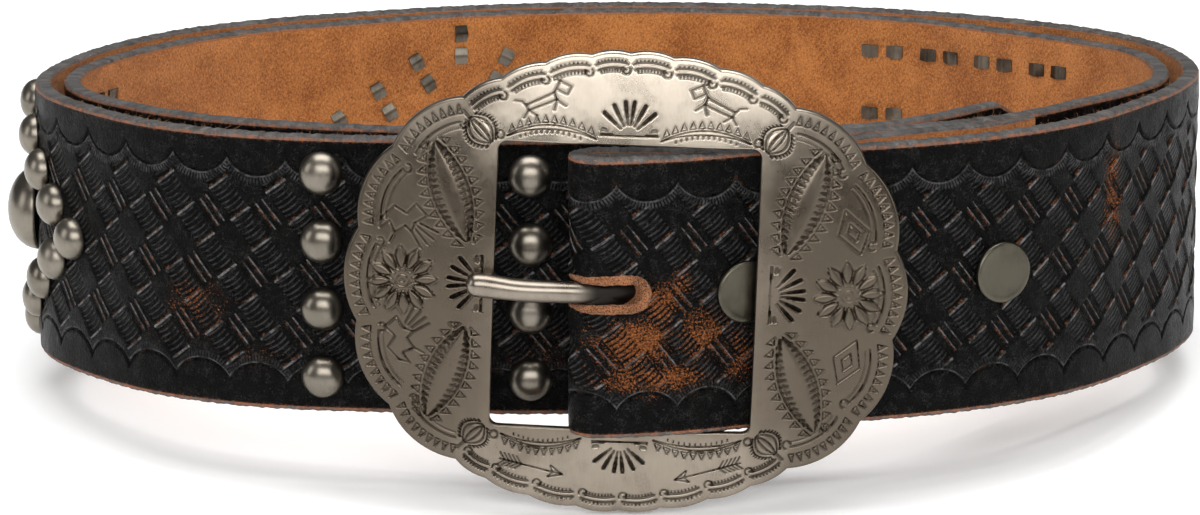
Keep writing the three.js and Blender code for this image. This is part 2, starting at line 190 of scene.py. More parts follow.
class CentreLine:
    """A centripetal curve through plan points, read by the length along it in mm."""

    STEPS = 4000

    def __init__(self, points):
        points = np.array(points, float)
        before = 2 * points[0] - points[1]
        after = 2 * points[-1] - points[-2]
        self.padded = np.vstack([before, points, after])
        self.count = len(points)
        self.t = np.linspace(0, 1, self.STEPS + 1)
        steps = np.diff(self.at(self.t), axis=0)
        self.reached = np.concatenate([[0], np.cumsum(np.hypot(steps[:, 0], steps[:, 1]))])
        self.length = self.reached[-1]

    def at(self, t):
        x = np.clip(t, 0, 1) * (self.count - 1)
        k = np.minimum(x.astype(int), self.count - 2)
        w = (x - k)[:, None]
        p0, p1, p2, p3 = (self.padded[k + i] for i in range(4))
        spans = ((p0, p1), (p1, p2), (p2, p3))
        a, b, c = (np.sqrt(np.linalg.norm(q - p, axis=1))[:, None] for p, q in spans)
        m1 = ((p1 - p0) / a - (p2 - p0) / (a + b) + (p2 - p1) / b) * b
        m2 = ((p2 - p1) / b - (p3 - p1) / (b + c) + (p3 - p2) / c) * b
        bend = -3 * p1 + 3 * p2 - 2 * m1 - m2
        twist = 2 * p1 - 2 * p2 + m1 + m2
        return p1 + m1 * w + bend * w**2 + twist * w**3

    def station(self, s):
        """Points, directions along and outward normals of the strap at lengths s, each as x, y, z rows."""
        t = np.interp(np.atleast_1d(s), self.reached, self.t)
        p = self.at(t)
        d = self.at(t + 1e-4) - self.at(t - 1e-4)
        d /= np.linalg.norm(d, axis=1)[:, None]
        flat = np.zeros(len(p))
        return (
            np.column_stack([p, flat]),
            np.column_stack([d, flat]),
            np.column_stack([d[:, 1], -d[:, 0], flat]),
        )

    def where(self, score, start, end):
        s = np.arange(start, end, 0.25)
        return float(s[np.argmin(score(self.station(s)[0]))])


def widened(points):
    """The route, a little wider at both ends than in the solids, as the photograph shows it."""
    p = np.array(points, float)
    x = p[:, 0].copy()
    p[:, 0] += WIDER_RIGHT * smooth((x - WIDER_FROM_X) / WIDER_OVER_RIGHT)
    p[:, 0] -= WIDER_LEFT * smooth((-x - WIDER_FROM_X) / WIDER_OVER_LEFT)
    return p.tolist()


ROUTE = CentreLine(widened(FOLDED_END + FOLD_BEND + OUTER_TURN + INNER_TURN))
BAR_S = ROUTE.where(lambda p: p[:, 0], 0, 140)
RIGHT_END_S = ROUTE.where(lambda p: -p[:, 0], BAR_S, BAR_S + 220)
LEFT_END_S = ROUTE.where(lambda p: p[:, 0], BAR_S + 300, BAR_S + 560)
SQUARE_S = LEFT_END_S + SQUARE_FROM_LEFT_END


def front_s_table():
    """Places x to the right of the fold on the outer front layer, and the lengths at which it has them."""
    s = np.arange(BAR_S + 1, BAR_S + 110, 0.5)
    return ROUTE.station(s)[0][:, 0], s


def front_s(x):
    """Length at which the outer front layer passes x."""
    return float(np.interp(x, *front_s_table()))


# Mesh helpers.
def signed_volume(points, faces):
    """Six times the volume inside closed faces: positive where they look outwards."""
    fans = [(f[0], b, c) for f in faces for b, c in zip(f[1:-1], f[2:])]
    a, b, c = (points[np.array(fans)[:, i]] for i in range(3))
    return float(np.einsum("ij,ij->", a, np.cross(b, c)))


def make_piece(name, points_mm, faces, materials, zones=None, sharp_degrees=80, corner=None):
    """A smooth-shaded mesh object from belt-frame points; corner maps attribute names to values by vertex."""
    points = to_row(points_mm)
    faces = [tuple(int(i) for i in f) for f in faces]
    if signed_volume(points - points.mean(axis=0), faces) < 0:
        faces = [f[::-1] for f in faces]
    mesh = bpy.data.meshes.new(name)
    mesh.from_pydata(points.tolist(), [], faces)
    for material in materials:
        mesh.materials.append(material)
    if zones is not None:
        mesh.polygons.foreach_set("material_index", np.asarray(zones, np.int32))
    mesh.polygons.foreach_set("use_smooth", np.ones(len(faces), bool))
    if corner:
        loop_vertex = np.zeros(len(mesh.loops), np.int32)
        mesh.loops.foreach_get("vertex_index", loop_vertex)
        for key, values in corner.items():
            layer = mesh.attributes.new(key, "FLOAT_VECTOR", "CORNER")
            layer.data.foreach_set("vector", np.asarray(values, np.float32)[loop_vertex].ravel())
    mesh.set_sharp_from_angle(angle=math.radians(sharp_degrees))
    mesh.update()
    piece = bpy.data.objects.new(name, mesh)
    bpy.context.scene.collection.objects.link(piece)
    return piece


def hand_over(piece, body, nodes):
    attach(piece, body)
    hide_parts(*nodes)


def grid_faces(columns, rows, close_columns, close_rows):
    """Quads of a grid of points stored column by column."""
    i = np.arange(columns if close_columns else columns - 1)
    k = np.arange(rows if close_rows else rows - 1)
    i, k = (g.ravel() for g in np.meshgrid(i, k, indexing="ij"))
    i2 = (i + 1) % columns
    k2 = (k + 1) % rows
    return np.column_stack([i * rows + k, i2 * rows + k, i2 * rows + k2, i * rows + k2])


def tube_faces(rings, sides):
    """Faces of a closed tube of rings stored one after the other, with both its ends."""
    last = (rings - 1) * sides
    ends = [tuple(range(sides)), tuple(reversed(range(last, last + sides)))]
    return [tuple(f) for f in grid_faces(rings, sides, False, True).tolist()] + ends


def plain_mesh(piece):
    """Bakes a piece's modifiers into a plain mesh and removes them."""
    bpy.context.view_layer.update()
    depsgraph = bpy.context.evaluated_depsgraph_get()
    mesh = bpy.data.meshes.new_from_object(
        piece.evaluated_get(depsgraph), preserve_all_data_layers=True, depsgraph=depsgraph
    )
    piece.modifiers.clear()
    piece.data = mesh
    return piece


def cut(piece, cutters):
    """Cuts closed cutter objects out of a piece. The cut faces keep the cutter's material."""
    for cutter in cutters:
        step = piece.modifiers.new("cut", "BOOLEAN")
        step.operation = "DIFFERENCE"
        step.solver = "EXACT"
        step.material_mode = "TRANSFER"
        step.object = cutter
    plain_mesh(piece)
    for cutter in cutters:
        bpy.data.objects.remove(cutter)


def lathe(profile, sides):
    """Points and faces of a profile of (radius, height) pairs turned about z, which starts and ends on it."""
    points = [(0, 0, profile[0][1])]
    for radius, height in profile[1:-1]:
        for i in range(sides):
            a = 2 * math.pi * i / sides
            points.append((radius * math.cos(a), radius * math.sin(a), height))
    points.append((0, 0, profile[-1][1]))
    rings = len(profile) - 2
    last = len(points) - 1
    faces = []
    for i in range(sides):
        j = (i + 1) % sides
        faces.append((0, 1 + j, 1 + i))
        for r in range(rings - 1):
            a, b = 1 + r * sides, 1 + (r + 1) * sides
            faces.append((a + i, a + j, b + j, b + i))
        a = 1 + (rings - 1) * sides
        faces.append((a + i, a + j, last))
    return np.array(points), faces


# Tooling of the strap's grain side. Depths are in mm into the leather.
def trough(distance, half_width):
    return smooth(1 - np.abs(distance) / half_width)


def fitted_pitch(at_x, before_square, pitch):
    """Start and step of a repeat that meets both places read from the photograph, near a given step."""
    start = front_s(at_x)
    span = SQUARE_S - before_square - start
    return start, span / round(span / pitch)


WEAVE_START, WEAVE_ALONG = fitted_pitch(WEAVE_AT_X, WEAVE_BEFORE_SQUARE, WEAVE_STEP)
SCALLOP_START, SCALLOP_ALONG = fitted_pitch(SCALLOP_AT_X, SCALLOP_BEFORE_SQUARE, SCALLOP_PITCH)


def from_nearest_place(s, z, centre):
    """Offsets from the nearest of the weave's places, each moved by centre."""
    bx, by = WEAVE_DROP
    x = s - WEAVE_START - centre[0]
    y = z - WEAVE_ROW_Z - centre[1]
    j = y / by
    i = (x - j * bx) / WEAVE_ALONG
    i -= np.round(i)
    j -= np.round(j)
    return i * WEAVE_ALONG + j * bx, j * by


def bars(s, z, centre, direction, count, pitch, length, half_width):
    """Mask of parallel cuts at each of the weave's places."""
    x, y = from_nearest_place(s, z, centre)
    along = x * math.cos(direction) + y * math.sin(direction)
    across = -x * math.sin(direction) + y * math.cos(direction)
    middle = (count - 1) / 2
    k = np.clip(np.round(across / pitch + middle), 0, count - 1) - middle
    beyond = np.maximum(np.abs(along) - length / 2, 0)
    return trough(np.hypot(beyond, across - k * pitch), half_width)


def across_place(distance):
    """Centre of a block that lies beside the grooves."""
    return (-distance * math.sin(GROOVE_DIRECTION), distance * math.cos(GROOVE_DIRECTION))


def pressed_block(s, z, centre, shallow, head_soft):
    """A sunk block along the grooves, shallower at its head, with a steep wall at its foot."""
    x, y = from_nearest_place(s, z, centre)
    along = x * math.cos(GROOVE_DIRECTION) + y * math.sin(GROOVE_DIRECTION)
    across = np.abs(-x * math.sin(GROOVE_DIRECTION) + y * math.cos(GROOVE_DIRECTION))
    head = smooth((along + BLOCK_HALF_ALONG) / head_soft + 0.5)
    foot = smooth((BLOCK_HALF_ALONG - along) / 0.5 + 0.5)
    floor = shallow + (1 - shallow) * np.clip((along / BLOCK_HALF_ALONG + 1) / 2, 0, 1)
    return head * foot * smooth((BLOCK_HALF_ACROSS - across) / 0.5 + 0.5) * floor


def scallop(s, z):
    """Distance outside the nearest border arc and where the arcs run; the two borders mirror each other."""
    x = s - SCALLOP_START - SCALLOP_ALONG / 2
    x -= np.round(x / SCALLOP_ALONG) * SCALLOP_ALONG
    inwards = np.where(z > MID, STRAP_W - z, z - SCALLOP_LOWER_UP)
    outside = np.hypot(x, inwards - SCALLOP_CENTRE_IN) - SCALLOP_R
    return outside, inwards


GROOVES = {"centre": (0, 0), "direction": GROOVE_DIRECTION, "count": 3, "pitch": 1.45, "length": 5.4}


def tooling(s, z, depth):
    """Depth of the grain side's tooling, its sunk lines and the weave's field, at lengths s and heights z."""
    outside, inwards = scallop(s, z)
    arc = trough(outside, 0.42) * smooth((inwards - SCALLOP_CUSP_IN + 0.6) / 0.5)
    middle = smooth((outside - 0.9) / 0.8) * smooth((inwards - SCALLOP_CUSP_IN - 1.6) / 1.2)
    grooves = bars(s, z, half_width=0.6, **GROOVES) * middle
    blocks = [0.7 * pressed_block(s, z, (0, 0), 0.8, 0.6)]
    blocks += [pressed_block(s, z, across_place(d), 0.3, 1.4) for d in RIB_BLOCKS_ACROSS]
    pressed = np.maximum.reduce(blocks) * middle
    lines = np.maximum(0.8 * grooves, arc)
    wrinkle = 0.05 * np.sin(s * 0.83 + 2.1 * np.sin(z * 0.31)) + 0.04 * np.sin(s * 0.37 - z * 0.9)
    return depth * (pressed + 0.75 * grooves + 1.1 * arc) + wrinkle * 0.5, lines, middle


# Where the black finish has rubbed off: x on the front or distance from the square of studs, height, the two
# radii and how much.
RUBBED_FRONT = (
    (10.5, 24, 4.0, 5.0, 1.05),
    (6.0, 17, 10.0, 6.0, 1.0),
    (14, 27, 3.0, 5.0, 0.9),
    (18, 18, 8.0, 7.0, 0.85),
    (9, 11, 14, 4.5, 0.9),
    (-1, 15, 4, 5, 0.6),
    (24, 14, 6, 7, 0.8),
    (27, 9.5, 6, 3.5, 0.6),
    (36, 14, 6, 4, 0.35),
    (105, 36, 4, 14, 0.85),
    (101.5, 40, 2.0, 9, 0.8),
)
RUBBED_LEFT = (
    (-43, 18, 9, 9, 0.72),
    (-31, 10, 9, 4, 0.62),
    (-52, 12, 8, 5, 0.5),
    (-25, 36, 5, 5, 0.45),
    (10, 22, 12, 18, 0.5),
    (20, 12, 12, 8, 0.6),
    (-60, 37, 10, 4, 0.35),
)


def rubbed(s, z):
    spots = [(front_s(x), *rest) for x, *rest in RUBBED_FRONT]
    spots += [(SQUARE_S + ds, *rest) for ds, *rest in RUBBED_LEFT]
    mask = np.zeros_like(s)
    for at_s, at_z, r_s, r_z, amount in spots:
        away = ((s - at_s) / r_s) ** 2 + ((z - at_z) / r_z) ** 2
        mask = np.maximum(mask, amount * np.exp(-0.7 * away))
    return mask


def half_thickness(s):
    return (SKIVE_T + (STRAP_T - SKIVE_T) * np.clip(s / SKIVE_LENGTH, 0, 1)) / 2


def half_width(s):
    """Half the strap's height: full, then tapered to a rounded tip."""
    left = ROUTE.length - s
    taper = MID - TIP_DROP * np.clip((TIP_LENGTH - left) / TIP_LENGTH, 0, 1)
    end = np.clip(1 - left / TIP_ROUND, 0, 1)
    return taper * (1 - 0.45 * (1 - np.sqrt(1 - 0.96 * end**2)))


EDGE_ROUND = 0.85
EDGE_STEPS = 5


def section(row_step, suede_rows):
    """Ring round the strap: how far each point goes across and up, and its zone: 0 grain, 1 edge, 2 suede."""
    rows = max(round((STRAP_W - 2 * EDGE_ROUND) / row_step), 2) + 1
    ring = [(1, 1, z, 0, 0) for z in np.linspace(-1, 1, rows)]
    for side in (1, -1):
        first, then = (1, -1) if side == 1 else (-1, 1)
        for k in range(1, EDGE_STEPS + 1):
            a = math.pi / 2 * k / EDGE_STEPS
            ring.append((first, first * math.cos(a), side, side * math.sin(a), 1))
        ring.append((0, 0, side, side, 1))
        for k in range(EDGE_STEPS):
            a = math.pi / 2 * (1 - k / EDGE_STEPS)
            ring.append((then, then * math.cos(a), side, side * math.sin(a), 1))
        if side == 1:
            ring += [(-1, -1, z, 0, 2) for z in np.linspace(1, -1, suede_rows)]
    return np.array(ring)


def strap_mesh(name, start, end, step, row_step, suede_rows, depth, materials):
    """A closed length of the strap, tooled outside, with grain, edge and suede zones."""
    s = np.linspace(start, end, math.ceil((end - start) / step) + 1)
    p, _, n = ROUTE.station(s)
    ring = section(row_step, suede_rows)
    face, curl, height, swell, zone = ring.T
    h = half_thickness(s)[:, None]
    w = half_width(s)[:, None]
    e = np.minimum(EDGE_ROUND, 0.75 * h)
    z = MID + height * (w - e) + swell * e
    across = face * (h - e) + curl * e
    place_s = np.repeat(s[:, None], len(ring), axis=1)
    pressed, lines, field = tooling(place_s, z, depth)
    on_grain = np.clip(face, 0, 1) * (zone == 0)
    across = across - pressed * on_grain
    ragged = 0.09 * np.sin(1.7 * s + 1.3 * np.sin(0.61 * s)) + 0.06 * np.sin(4.3 * s)
    z = z + swell * ragged[:, None] * 0.8
    points = p[:, None, :] + n[:, None, :] * across[:, :, None]
    points[:, :, 2] = z
    rows = len(ring)
    grain_rows = int((zone == 0).sum())
    suede_first = int(np.argmax(zone == 2))
    k = grid_faces(len(s), rows, False, True)[:, 0] % rows
    zones = np.full(len(k), 1)
    zones[k < grain_rows - 1] = 0
    zones[(k >= suede_first) & (k < suede_first + suede_rows - 1)] = 2
    around = np.broadcast_to((1 - (face * (1 - np.abs(swell)) + face * np.abs(curl)) / 2) / 2, z.shape)
    places = np.stack([place_s, z, around], axis=2).reshape(-1, 3)
    marks = np.stack([rubbed(place_s, z), lines * on_grain, field * on_grain], axis=2).reshape(-1, 3)
    return make_piece(
        name,
        points.reshape(-1, 3),
        tube_faces(len(s), rows),
        materials,
        np.concatenate([zones, [1, 1]]),
        corner={"strap_place": places, "strap_marks": marks},
    )


# The buckle's plate, its rim and the relief stamped into it.
# Where the rim's scallops meet, in mm right of and above the plate's middle, counterclockwise from the lower
# right: a short side, the long top, the other short side, the long bottom.
RIM = (
    (30.0, -32.7), (42.6, -23.7), (47.7, -8.3), (47.8, 8.1), (41.7, 23.6), (28.8, 33.1), (22.9, 36.9),
    (15.3, 39.6), (7.0, 41.3), (-0.7, 41.9), (-7.6, 41.4), (-15.8, 39.7), (-23.5, 36.6), (-30.1, 33.0),
    (-42.3, 23.7), (-47.9, 9.0), (-47.8, -8.2), (-41.5, -23.5), (-29.4, -33.1), (-23.9, -36.5),
    (-16.2, -39.3), (-7.6, -41.0), (0.1, -41.6), (7.8, -40.8), (16.0, -38.9), (23.6, -36.2),
)


def on_short_side(lobe):
    return lobe % (LOBES_SHORT + LOBES_LONG) < LOBES_SHORT


def rim_point(lobe, t, inset=0.0):
    """Point of a scallop of the rim at t from 0 to 1, or of the same arc further in."""
    ax, az = RIM[lobe % LOBES]
    bx, bz = RIM[(lobe + 1) % LOBES]
    chord = math.hypot(bx - ax, bz - az)
    bow = chord * (LOBE_BOW_SHORT if on_short_side(lobe) else LOBE_BOW_LONG)
    radius = chord**2 / (8 * bow) + bow / 2
    ux, uz = (bx - ax) / chord, (bz - az) / chord
    turn = math.asin(chord / 2 / radius) * (2 * t - 1)
    along = (radius - inset) * math.sin(turn)
    out = (radius - inset) * math.cos(turn) - radius + bow
    return ((ax + bx) / 2 + ux * along + uz * out, (az + bz) / 2 + uz * along - ux * out)


def window_point(angle):
    """Point of the window's rounded rectangle in a direction."""
    hw, hh, r = WINDOW_W / 2, WINDOW_H / 2, WINDOW_CORNER_R
    c, s = math.cos(angle), math.sin(angle)
    k = min(hw / max(abs(c), 1e-6), hh / max(abs(s), 1e-6))
    x, z = c * k, s * k
    ox, oz = abs(x) - (hw - r), abs(z) - (hh - r)
    if ox > 0 and oz > 0:
        d = math.hypot(ox, oz)
        x = math.copysign(hw - r + ox / d * r, x)
        z = math.copysign(hh - r + oz / d * r, z)
    return x + WINDOW_SHIFT[0], z + WINDOW_SHIFT[1]


def plate_front(x, z):
    return PLATE_APEX_Y + PLATE_DOME * ((x / PLATE_HALF_W) ** 2 + (z / PLATE_HALF_H) ** 2)


def on_plate(x, y, z):
    """Plate places to belt places: the plate is turned a little in its own plane."""
    c, s = math.cos(PLATE_ROLL), math.sin(PLATE_ROLL)
    return np.stack([x * c + z * s + PLATE_X, y, -x * s + z * c + PLATE_Z], axis=-1)


def rotated(point, degrees):
    a = math.radians(degrees)
    x, z = point
    return (x * math.cos(a) - z * math.sin(a), x * math.sin(a) + z * math.cos(a))


def moved(points, at, degrees=0.0, mirror=False, scale=1.0):
    """Points of a small figure, mirrored, scaled, turned and put in place on the plate."""
    out = []
    for x, z in points:
        x, z = rotated(((-x if mirror else x) * scale, z * scale), degrees)
        out.append((x + at[0], z + at[1]))
    return out


class Stamping:
    """Everything struck into or raised on the plate's face, in plate places."""

    def __init__(self, line_half_width, line_depth):
        self.half = line_half_width
        self.deep = line_depth
        self.strokes = []
        self.leaves = []

    def line(self, *points, width=1.0, depth=1.0):
        self.strokes.append((np.array(points, float), self.half * width, self.deep * depth))

    def ring(self, centre, radius, start=0, end=360, **how):
        steps = max(int(abs(end - start) / 24), 4)
        angles = [math.radians(start + (end - start) * i / steps) for i in range(steps + 1)]
        points = [(centre[0] + radius * math.cos(a), centre[1] + radius * math.sin(a)) for a in angles]
        self.line(*points, **how)

    def leaf(self, a, b, half_width, rise, border=0.5, serrated=0.0):
        """A pointed oval from a to b, raised or sunk, with a sunk outline."""
        self.leaves.append((np.array(a, float), np.array(b, float), half_width, rise, border, serrated))

    def triangles(self, base, apex, count, half_base):
        """Dotted triangles side by side: base(t) and apex(t) give their feet and points for t from 0 to 1."""
        for i in range(count):
            t = (i + 0.5) / count
            step = half_base / count
            self.line(base(t - step), apex(t), base(t + step), base(t - step), width=0.7)
            middle = np.array(base(t)) * 0.66 + np.array(apex(t)) * 0.34
            self.line(middle, middle + 0.01, width=0.8)

    def relief(self, x, z):
        """Depth into the face and a mask of what is struck, at plate places."""
        depth = np.zeros_like(x)
        struck = np.zeros_like(x)
        for a, b, half_width, rise, border, serrated in self.leaves:
            axis = b - a
            length = np.linalg.norm(axis)
            axis = axis / length
            along = ((x - a[0]) * axis[0] + (z - a[1]) * axis[1]) / length
            across = np.abs(-(x - a[0]) * axis[1] + (z - a[1]) * axis[0])
            inside = (along > 0.002) & (along < 0.998)
            reach = half_width * np.sin(np.pi * np.clip(along, 0.002, 0.998)) ** 0.8
            crown = np.clip(1 - across / reach, 0, 1)
            depth -= np.where(inside, rise * np.sin(np.pi / 2 * np.minimum(crown * 1.15, 1)), 0)
            edge = np.where(inside, trough(across - reach, self.half * 1.1), 0) * border
            if serrated:
                teeth = 0.5 + 0.5 * np.cos(2 * np.pi * along * length / serrated)
                inner = trough(across - reach * 0.8, 0.55) * teeth * inside
                edge = np.maximum(edge, 0.75 * inner)
            depth += self.deep * edge
            struck = np.maximum(struck, edge)
        for points, half, deep in self.strokes:
            low, high = points.min(axis=0) - half, points.max(axis=0) + half
            near = np.nonzero((x > low[0]) & (x < high[0]) & (z > low[1]) & (z < high[1]))[0]
            if not len(near):
                continue
            px, pz = x[near], z[near]
            closest = np.full(len(near), 1e9)
            for (ax, az), (bx, bz) in zip(points[:-1], points[1:]):
                dx, dz = bx - ax, bz - az
                t = np.clip(((px - ax) * dx + (pz - az) * dz) / max(dx * dx + dz * dz, 1e-9), 0, 1)
                closest = np.minimum(closest, np.hypot(px - ax - t * dx, pz - az - t * dz))
            press = trough(closest, half)
            depth[near] = np.maximum(depth[near], depth[near] + deep * press)
            struck[near] = np.maximum(struck[near], press * min(deep / self.deep, 1))
        return depth, struck


# Small figures as lines in mm round their own middle, right or left facing by mirror.
RUNNING_ANIMAL = (
    ((-5.0, -0.5), (-3.7, -0.6), (-3.0, -1.2), (1.9, 1.2), (2.9, 3.4), (1.9, 3.4)),
    ((-2.5, -2.1), (2.4, 0.0)),
    ((-3.0, -1.2), (-2.5, -2.1), (-3.3, -3.4)),
    ((-2.5, -2.1), (-1.0, -2.9)),
    ((2.8, 3.3), (4.9, 2.4), (4.2, 1.0), (2.4, 1.8)),
    ((1.9, 1.2), (2.4, 0.0), (2.0, -1.8)),
    ((2.4, 0.0), (4.0, -1.0)),
)
STEPPED_FIGURE = (
    ((-5.2, 1.2), (-2.8, 3.6), (-0.4, 2.2), (1.4, 4.2), (3.6, 2.0), (1.2, 0.4)),
    ((-5.2, 1.2), (-5.6, -0.8), (-3.6, 0.6), (-2.6, -1.6), (-0.6, -0.2)),
    ((-2.6, -1.6), (-3.6, -3.6)),
    ((-0.6, -0.2), (0.6, -1.2), (1.2, 0.4)),
    ((0.6, -1.2), (2.6, -4.4)),
    ((1.4, -0.8), (3.8, -3.6)),
    ((1.8, -0.2), (5.0, -2.6)),
    ((2.2, 0.4), (5.8, -1.2)),
)
# Places on the plate, in mm right of and above its middle: where, turn in degrees, mirrored.
ANIMALS = (((-15.9, 33.5), 0, False), ((15.0, 33.5), 0, True))
STEPPED_FIGURES = (((-39.0, 10.0), 0, False), ((-38.8, -10.0), 90, False))
ROSETTES = ((-39.8, 0.0), (39.4, -0.1))
LENSES = (
    ((-34.8, 25.1), (-28.5, 7.5)),
    ((34.3, 25.3), (28.0, 7.2)),
    ((-28.5, -8.0), (-34.8, -25.1)),
    ((27.8, -7.8), (34.5, -25.5)),
)
LENS_HALF_W = 3.2
SEEDS = (
    ((-29.9, 30.8), (-24.7, 25.4)),
    ((28.4, 30.7), (23.8, 25.3)),
    ((-29.1, -30.7), (-24.5, -26.1)),
    ((29.0, -30.9), (24.1, -26.4)),
)
SEED_HALF_W = 1.85
FANS = (
    ((-0.6, 27.6), 90, 6.0),
    ((-0.2, -28.2), -90, 5.8),
    ((25.4, -0.1), 0, 6.1),
    ((-25.6, 0.1), 180, 6.0),
)
WINDOW_ARCS = (
    ((-22.0, 26.8), (-14.6, 29.0), (-6.4, 26.9)),
    ((5.2, 26.9), (13.0, 28.9), (21.0, 26.8)),
    ((-21.4, -27.6), (-14.3, -29.7), (-7.2, -27.8)),
    ((5.8, -27.7), (13.8, -29.5), (21.4, -27.4)),
)
DIAMONDS = (
    ((38.2, 15.3), (42.6, 11.6), (41.3, 7.5), (37.2, 10.8)),
    ((41.3, -8.2), (37.2, -11.4), (38.2, -16.3), (42.0, -13.4)),
)
ARROWS = (((-21.4, -32.4), (-10.3, -34.9)), ((21.5, -31.7), (10.0, -35.2)))


def rim_stamps(face):
    """Borders along the rim's scallops: toothed double arcs, and dotted triangles on the short sides."""
    for lobe in range(LOBES):
        if on_short_side(lobe):
            face.triangles(
                lambda t, k=lobe: rim_point(k, min(max(t, 0), 1), 2.75),
                lambda t, k=lobe: rim_point(k, min(max(t, 0.01), 0.99), 1.1),
                9,
                0.35,
            )
            face.line(*[rim_point(lobe, t, 4.2) for t in np.linspace(0.06, 0.94, 17)], width=1.1)
            for t in np.linspace(0.08, 0.92, 26):
                face.line(rim_point(lobe, t, 5.05), rim_point(lobe, t, 5.2), width=0.75, depth=0.8)
            hook_in, hook_r = 4.6, 0.75
        else:
            span = np.linspace(0.03, 0.97, 13)
            face.line(*[rim_point(lobe, t, 1.85) for t in span], width=1.35)
            face.line(*[rim_point(lobe, t, 2.85) for t in span], width=1.25)
            for t in np.linspace(0.1, 0.9, 9):
                face.line(rim_point(lobe, t, 1.7), rim_point(lobe, t, 1.35), width=0.9)
                face.line(rim_point(lobe, t, 3.0), rim_point(lobe, t, 3.45), width=0.9)
            hook_in, hook_r = 2.9, 0.72
        hook = rim_point(lobe, 0.0, hook_in)
        outward = math.degrees(math.atan2(hook[1], hook[0]))
        face.ring(hook, hook_r, outward + 55, outward + 360 - 55, width=0.95)


def rosette_stamp(face, centre):
    """Twelve raised petals round two rings, with a dash between the feet of each two."""
    for k in range(12):
        foot, tip, inner, outer = moved(((2.1, 0), (6.4, 0), (1.9, 0), (2.66, 0)), (0, 0), 30 * k + 5)
        face.leaf(np.add(centre, foot), np.add(centre, tip), 1.12, 0.55, border=0.45)
        dash = [np.add(centre, rotated(q, 15)) for q in (inner, outer)]
        face.line(*dash, width=0.8, depth=0.5)
    for radius in (0.35, 1.1):
        face.ring(centre, radius, width=0.9, depth=0.4)


def stamp_face(half_width, depth):
    """The plate's whole design."""
    face = Stamping(half_width, depth)
    rim_stamps(face)
    for centre in ROSETTES:
        rosette_stamp(face, centre)
    for a, b in LENSES:
        face.leaf(a, b, LENS_HALF_W, 0.9, border=0.75, serrated=0.95)
        border_lens(face, np.array(a), np.array(b))
    for a, b in SEEDS:
        seed_stamp(face, np.array(a), np.array(b))
    for centre, aim, size in FANS:
        fan_stamp(face, centre, aim, size)
    for start, middle, end in WINDOW_ARCS:
        window_arc(face, start, middle, end)
    for at, turn, mirror in ANIMALS:
        for part in RUNNING_ANIMAL:
            face.line(*moved(part, at, turn, mirror), width=1.0)
    for at, turn, mirror in STEPPED_FIGURES:
        for part in STEPPED_FIGURE:
            face.line(*moved(part, at, turn, mirror, 0.92), width=0.9)
    for corners in DIAMONDS:
        middle = np.mean(corners, axis=0)
        for size in (1.0, 0.4):
            closed = [middle + (np.array(q) - middle) * size for q in corners + corners[:1]]
            face.line(*closed, width=0.85)
    for tail, head in ARROWS:
        arrow_stamp(face, np.array(tail), np.array(head))
    return face


def border_lens(face, a, b):
    """Dotted triangles outside a raised lens and notches inside its outline."""
    axis = (b - a) / np.linalg.norm(b - a)
    side = np.array([-axis[1], axis[0]])

    def outline(t, out):
        t = min(max(t, 0.0), 1.0)
        reach = LENS_HALF_W * math.sin(math.pi * t) ** 0.8 + out
        return a + (b - a) * (t * 1.08 - 0.04), reach

    def beside(t, outward, out):
        centre, reach = outline(t, out)
        return tuple(centre + outward * reach)

    for outward in (side, -side):
        face.triangles(
            lambda t, way=outward: beside(t, way, 0.65), lambda t, way=outward: beside(t, way, 2.15), 10, 0.35
        )
        for t in np.linspace(0.12, 0.88, 14):
            centre, reach = outline(t, 0)
            face.line(centre + outward * reach * 0.94, centre + outward * reach * 0.56, width=1.25)


def seed_stamp(face, a, b):
    """A ribbed seed on a stem, with teeth outside."""
    axis = (b - a) / np.linalg.norm(b - a)
    side = np.array([-axis[1], axis[0]])
    foot = a + axis * 1.6
    face.line(a, foot, width=1.6)
    for half_width, rise in ((0.6, 0.2), (SEED_HALF_W, 0.3)):
        face.leaf(foot, b, half_width, rise, border=0.9)
    for way in (1, -1):
        border = []
        for i in range(11):
            t = 0.04 + 0.95 * i / 10
            reach = SEED_HALF_W * math.sin(math.pi * t) ** 0.8 + 0.75
            at = foot + (b - foot) * t + side * way * reach
            border.append(at)
            face.line(at, at + side * way * 0.5, width=0.8)
        face.line(*border, width=0.7)


FAN_RAYS = (-48, -27.5, -7.6, 7.6, 27.5, 48)


def fan_stamp(face, centre, aim, size):
    """A half sunburst of wedge-shaped rays on a straight foot."""
    def ray(angle, start, end, width):
        points = [rotated((size * r, 0), aim + angle) for r in (start, end)]
        face.line(*[(centre[0] + x, centre[1] + z) for x, z in points], width=width)

    for angle in FAN_RAYS:
        for start, width in ((0.34, 1.1), (0.55, 1.5), (0.75, 1.9)):
            ray(angle, start, 1.0, width)
    for way in (-90, 90):
        ray(way, 0.0, 0.85, 0.8)
        ray(way * 0.97, 0.5, 0.82, 1.4)
        ray(way * 0.86, 0.7, 0.8, 2.2)


